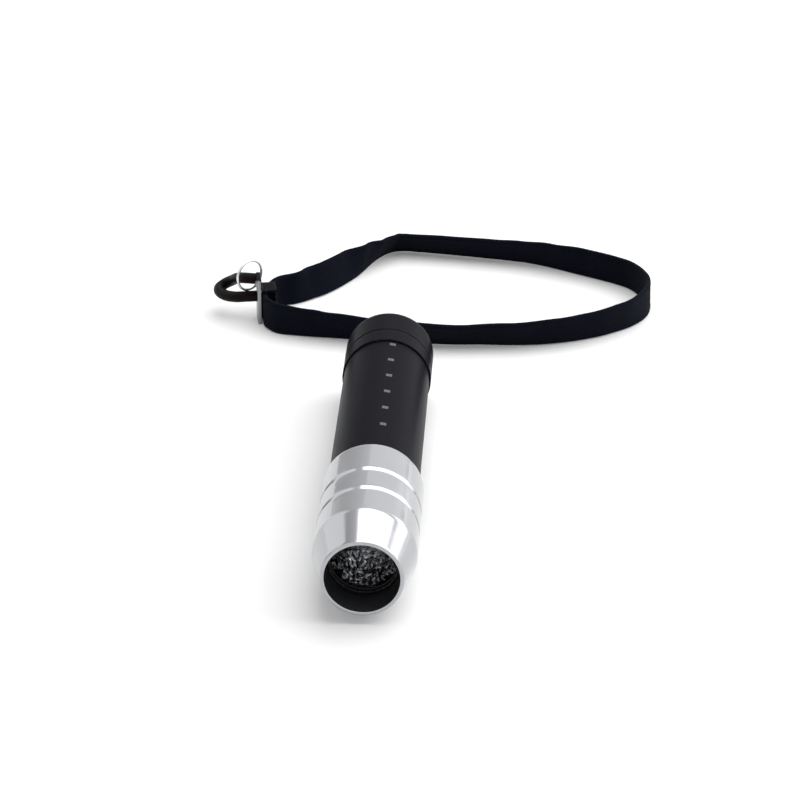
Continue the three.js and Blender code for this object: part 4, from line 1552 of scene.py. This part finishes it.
@dataclass
class Barrel:
    """The black barrel with its plain white ticks, and the cell inside."""

    radius: float = 11.5
    bore: float = 9.5
    front_spigot: float = 10.7
    front_start: float = 35.8
    front: float = 45.9
    rear: float = 108.4
    rear_spigot: float = 10.3
    rear_end: float = 114.0
    thread_depth: float = 0.35
    front_land: float = 41.9
    rear_land: float = 110.9
    tick_first: float = 59.4
    tick_pitch: float = 9.45
    tick_count: int = 6
    tick_angle: float = 9.0
    tick_size: tuple[float, float] = (1.6, 1.4)
    ink: float = 0.03

    def build_tube(self) -> bpy.types.Object:
        """Turns the barrel and winds a thread on each spigot.

        Returns:
            The barrel.
        """
        front_core = self.front_spigot - self.thread_depth
        rear_core = self.rear_spigot - self.thread_depth
        shape = Shape().turn(
            (
                (front_core, self.front_start, 0.2),
                (front_core, self.front_land),
                (self.front_spigot, self.front_land + 0.3, 0.08),
                (self.front_spigot, self.front, 0.05),
                (self.radius, self.front, 0.28),
                (self.radius, self.rear, 0.1),
                (self.rear_spigot, self.rear, 0.05),
                (self.rear_spigot, self.rear_land, 0.08),
                (rear_core, self.rear_land + 0.3),
                (rear_core, self.rear_end, 0.2),
                (self.bore, self.rear_end, 0.1),
                (self.bore, self.front_start, 0.1),
            )
        )
        shape.thread(self.front_spigot, self.front_start + 0.5, self.front_land, 1.0)
        shape.thread(self.rear_spigot, self.rear_land + 0.5, self.rear_end, 1.0)
        return shape.piece("black_tube", [BLACK_SKIN], Body.BARREL, "black_aluminium", ["barrel"])

    def build_ticks(self) -> bpy.types.Object:
        """Lays a row of short plain ticks on the barrel's upper side.

        Returns:
            The ticks.
        """
        bm = bmesh.new()
        wide, long = self.tick_size
        sweep = wide / self.radius
        for i in range(self.tick_count):
            middle = self.tick_first + i * self.tick_pitch
            angle = math.radians(self.tick_angle) - sweep / 2
            spoke = Vector((math.sin(angle), 0, math.cos(angle))) * (self.radius + self.ink) * MM
            ends = [bm.verts.new(on_axis(middle + side * long / 2) + spoke) for side in (-1, 1)]
            edge = bm.edges.new(ends)
            bmesh.ops.spin(
                bm,
                geom=[*ends, edge],
                cent=on_axis(0),
                axis=(0, 1, 0),
                dvec=(0, 0, 0),
                angle=sweep,
                steps=4,
                use_merge=False,
                use_duplicate=False,
            )
        bmesh.ops.recalc_face_normals(bm, faces=bm.faces[:])
        up = sum((f.normal.z for f in bm.faces), 0.0)
        if up < 0:
            bmesh.ops.reverse_faces(bm, faces=bm.faces[:])
        bmesh.ops.solidify(bm, geom=bm.faces[:], thickness=self.ink * MM)
        bmesh.ops.recalc_face_normals(bm, faces=bm.faces[:])
        shape = Shape()
        shape.absorb(bm)
        return shape.piece("plain_ticks", [WHITE_INK], Body.BARREL, "white_plastic")

    def build(self) -> None:
        """Builds the barrel, its ticks and its cell."""
        self.build_tube()
        self.build_ticks()
        for turning in (
            Turning("cell_body", CELL_SLEEVE, Body.BARREL, "cell_wrap", disc_section(9.2, 42.1, 106.0, 0.5)),
            Turning("cell_cap", PLATED_STEEL, Body.BARREL, "plated_steel", disc_section(3.0, 40.8, 42.0, 0.3)),
        ):
            turning.build()


@dataclass
class TailCap:
    """The black tail cap with its switch."""

    radius: float = 11.94
    front: float = 108.46
    end: float = 126.7
    round_over: float = 1.8
    bore: float = 10.5
    seal_front: float = 109.5
    seal_rear: float = 110.9
    seal_floor: float = 11.2
    bore_end: float = 114.2
    cavity: float = 8.6
    wall_front: float = 123.4
    wall_rear: float = 125.1
    boot_hole: float = 5.2
    dish: float = 7.4
    groove_centre: float = 114.8
    groove_depth: float = 0.14
    boot_top: float = 126.3
    boot_rings: tuple[float, ...] = (1.95, 3.25)
    boot_ring_depth: float = 0.28

    def build_cap(self) -> bpy.types.Object:
        """Turns the cap with its round rear edge, its groove and the dish round its switch.

        Returns:
            The cap.
        """
        shape = Shape().turn(
            (
                (self.radius, self.front, 0.15),
                (self.radius, self.groove_centre - 0.6, 0.1),
                (self.radius - self.groove_depth, self.groove_centre - 0.2, 0.15),
                (self.radius - self.groove_depth, self.groove_centre + 0.2, 0.15),
                (self.radius, self.groove_centre + 0.6, 0.1),
                (self.radius, self.end, self.round_over),
                (self.dish, self.end, 0.3),
                (self.boot_hole, self.wall_rear, 0.15),
                (self.boot_hole, self.wall_front),
                (self.cavity, self.wall_front),
                (self.cavity, self.bore_end),
                (self.bore, self.bore_end),
                (self.bore, self.seal_rear),
                (self.seal_floor, self.seal_rear),
                (self.seal_floor, self.seal_front),
                (self.bore, self.seal_front),
                (self.bore, self.front, 0.12),
            )
        )
        return shape.piece("black_cap", [BLACK_SKIN], Body.TAIL, "black_aluminium", ["tail_cap"])

    def build_boot(self) -> bpy.types.Object:
        """Turns the rubber boot, which rides on no body and has its place baked into its mesh.

        Returns:
            The boot.
        """
        dome = self.boot_hole - 0.3
        low = self.boot_top - self.boot_ring_depth
        rings = [
            corner
            for radius in self.boot_rings
            for corner in (
                (radius - 0.35, self.boot_top, 0.08),
                (radius - 0.2, low, 0.05),
                (radius + 0.2, low, 0.05),
                (radius + 0.35, self.boot_top, 0.08),
            )
        ]
        shape = Shape().turn(
            (
                (0, self.boot_top),
                *rings,
                (dome, self.boot_top, 0.8),
                (dome, 123.3, 0.1),
                (8.2, 123.3, 0.1),
                (8.2, 122.4, 0.1),
                (3.5, 122.4),
                (3.5, 124.9, 0.3),
                (0, 124.9),
            ),
            INNER_STEPS,
        )
        boot = shape.piece("rubber_boot", [BOOT_RUBBER], Body.TAIL, "boot_rubber", ["switch_boot"], False)
        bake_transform(boot)
        return boot

    def build(self) -> None:
        """Builds the cap, its boot and the switch inside."""
        self.build_cap()
        self.build_boot()
        seal = cord_section(10.42, 11.08, self.seal_front + 0.12, self.seal_rear - 0.12)
        plunger = (
            (0, 119.0),
            (1.8, 119.0, 0.2),
            (1.8, 122.6),
            (2.7, 122.6, 0.15),
            (2.7, 124.8, 0.3),
            (0, 124.8),
        )
        for turning in (
            Turning("tail_seal", SEAL_RUBBER, Body.TAIL_CARRIER, "seal_rubber", seal),
            Turning("switch_plunger", BLACK_MOULDING, Body.BUTTON, "black_plastic", plunger),
            Turning("switch_retainer", BRASS, Body.TAIL, "plain_brass", ring_section(5.8, 8.4, 114.4, 115.6)),
            Turning("switch_board", GREEN_MASK, Body.TAIL, "green_board", disc_section(8.2, 115.7, 116.7)),
            Turning("switch_spacer", BLACK_MOULDING, Body.TAIL, "black_plastic", ring_section(7.2, 8.2, 116.8, 122.3)),
        ):
            turning.build()
        dress_node("switch_body", BLACK_MOULDING)
        dress_node("tail_spring", SPRING_WIRE)


def main() -> None:
    """Builds the view, the strap, the torch and the studio."""
    logging.basicConfig(level=logging.INFO, format="%(message)s")
    PhotoView().build()
    for part in (WristStrap(), Nose(), LightEngine(), Head(), Barrel(), TailCap()):
        part.build()
    Studio().build()


if __name__ == "__main__":
    main()
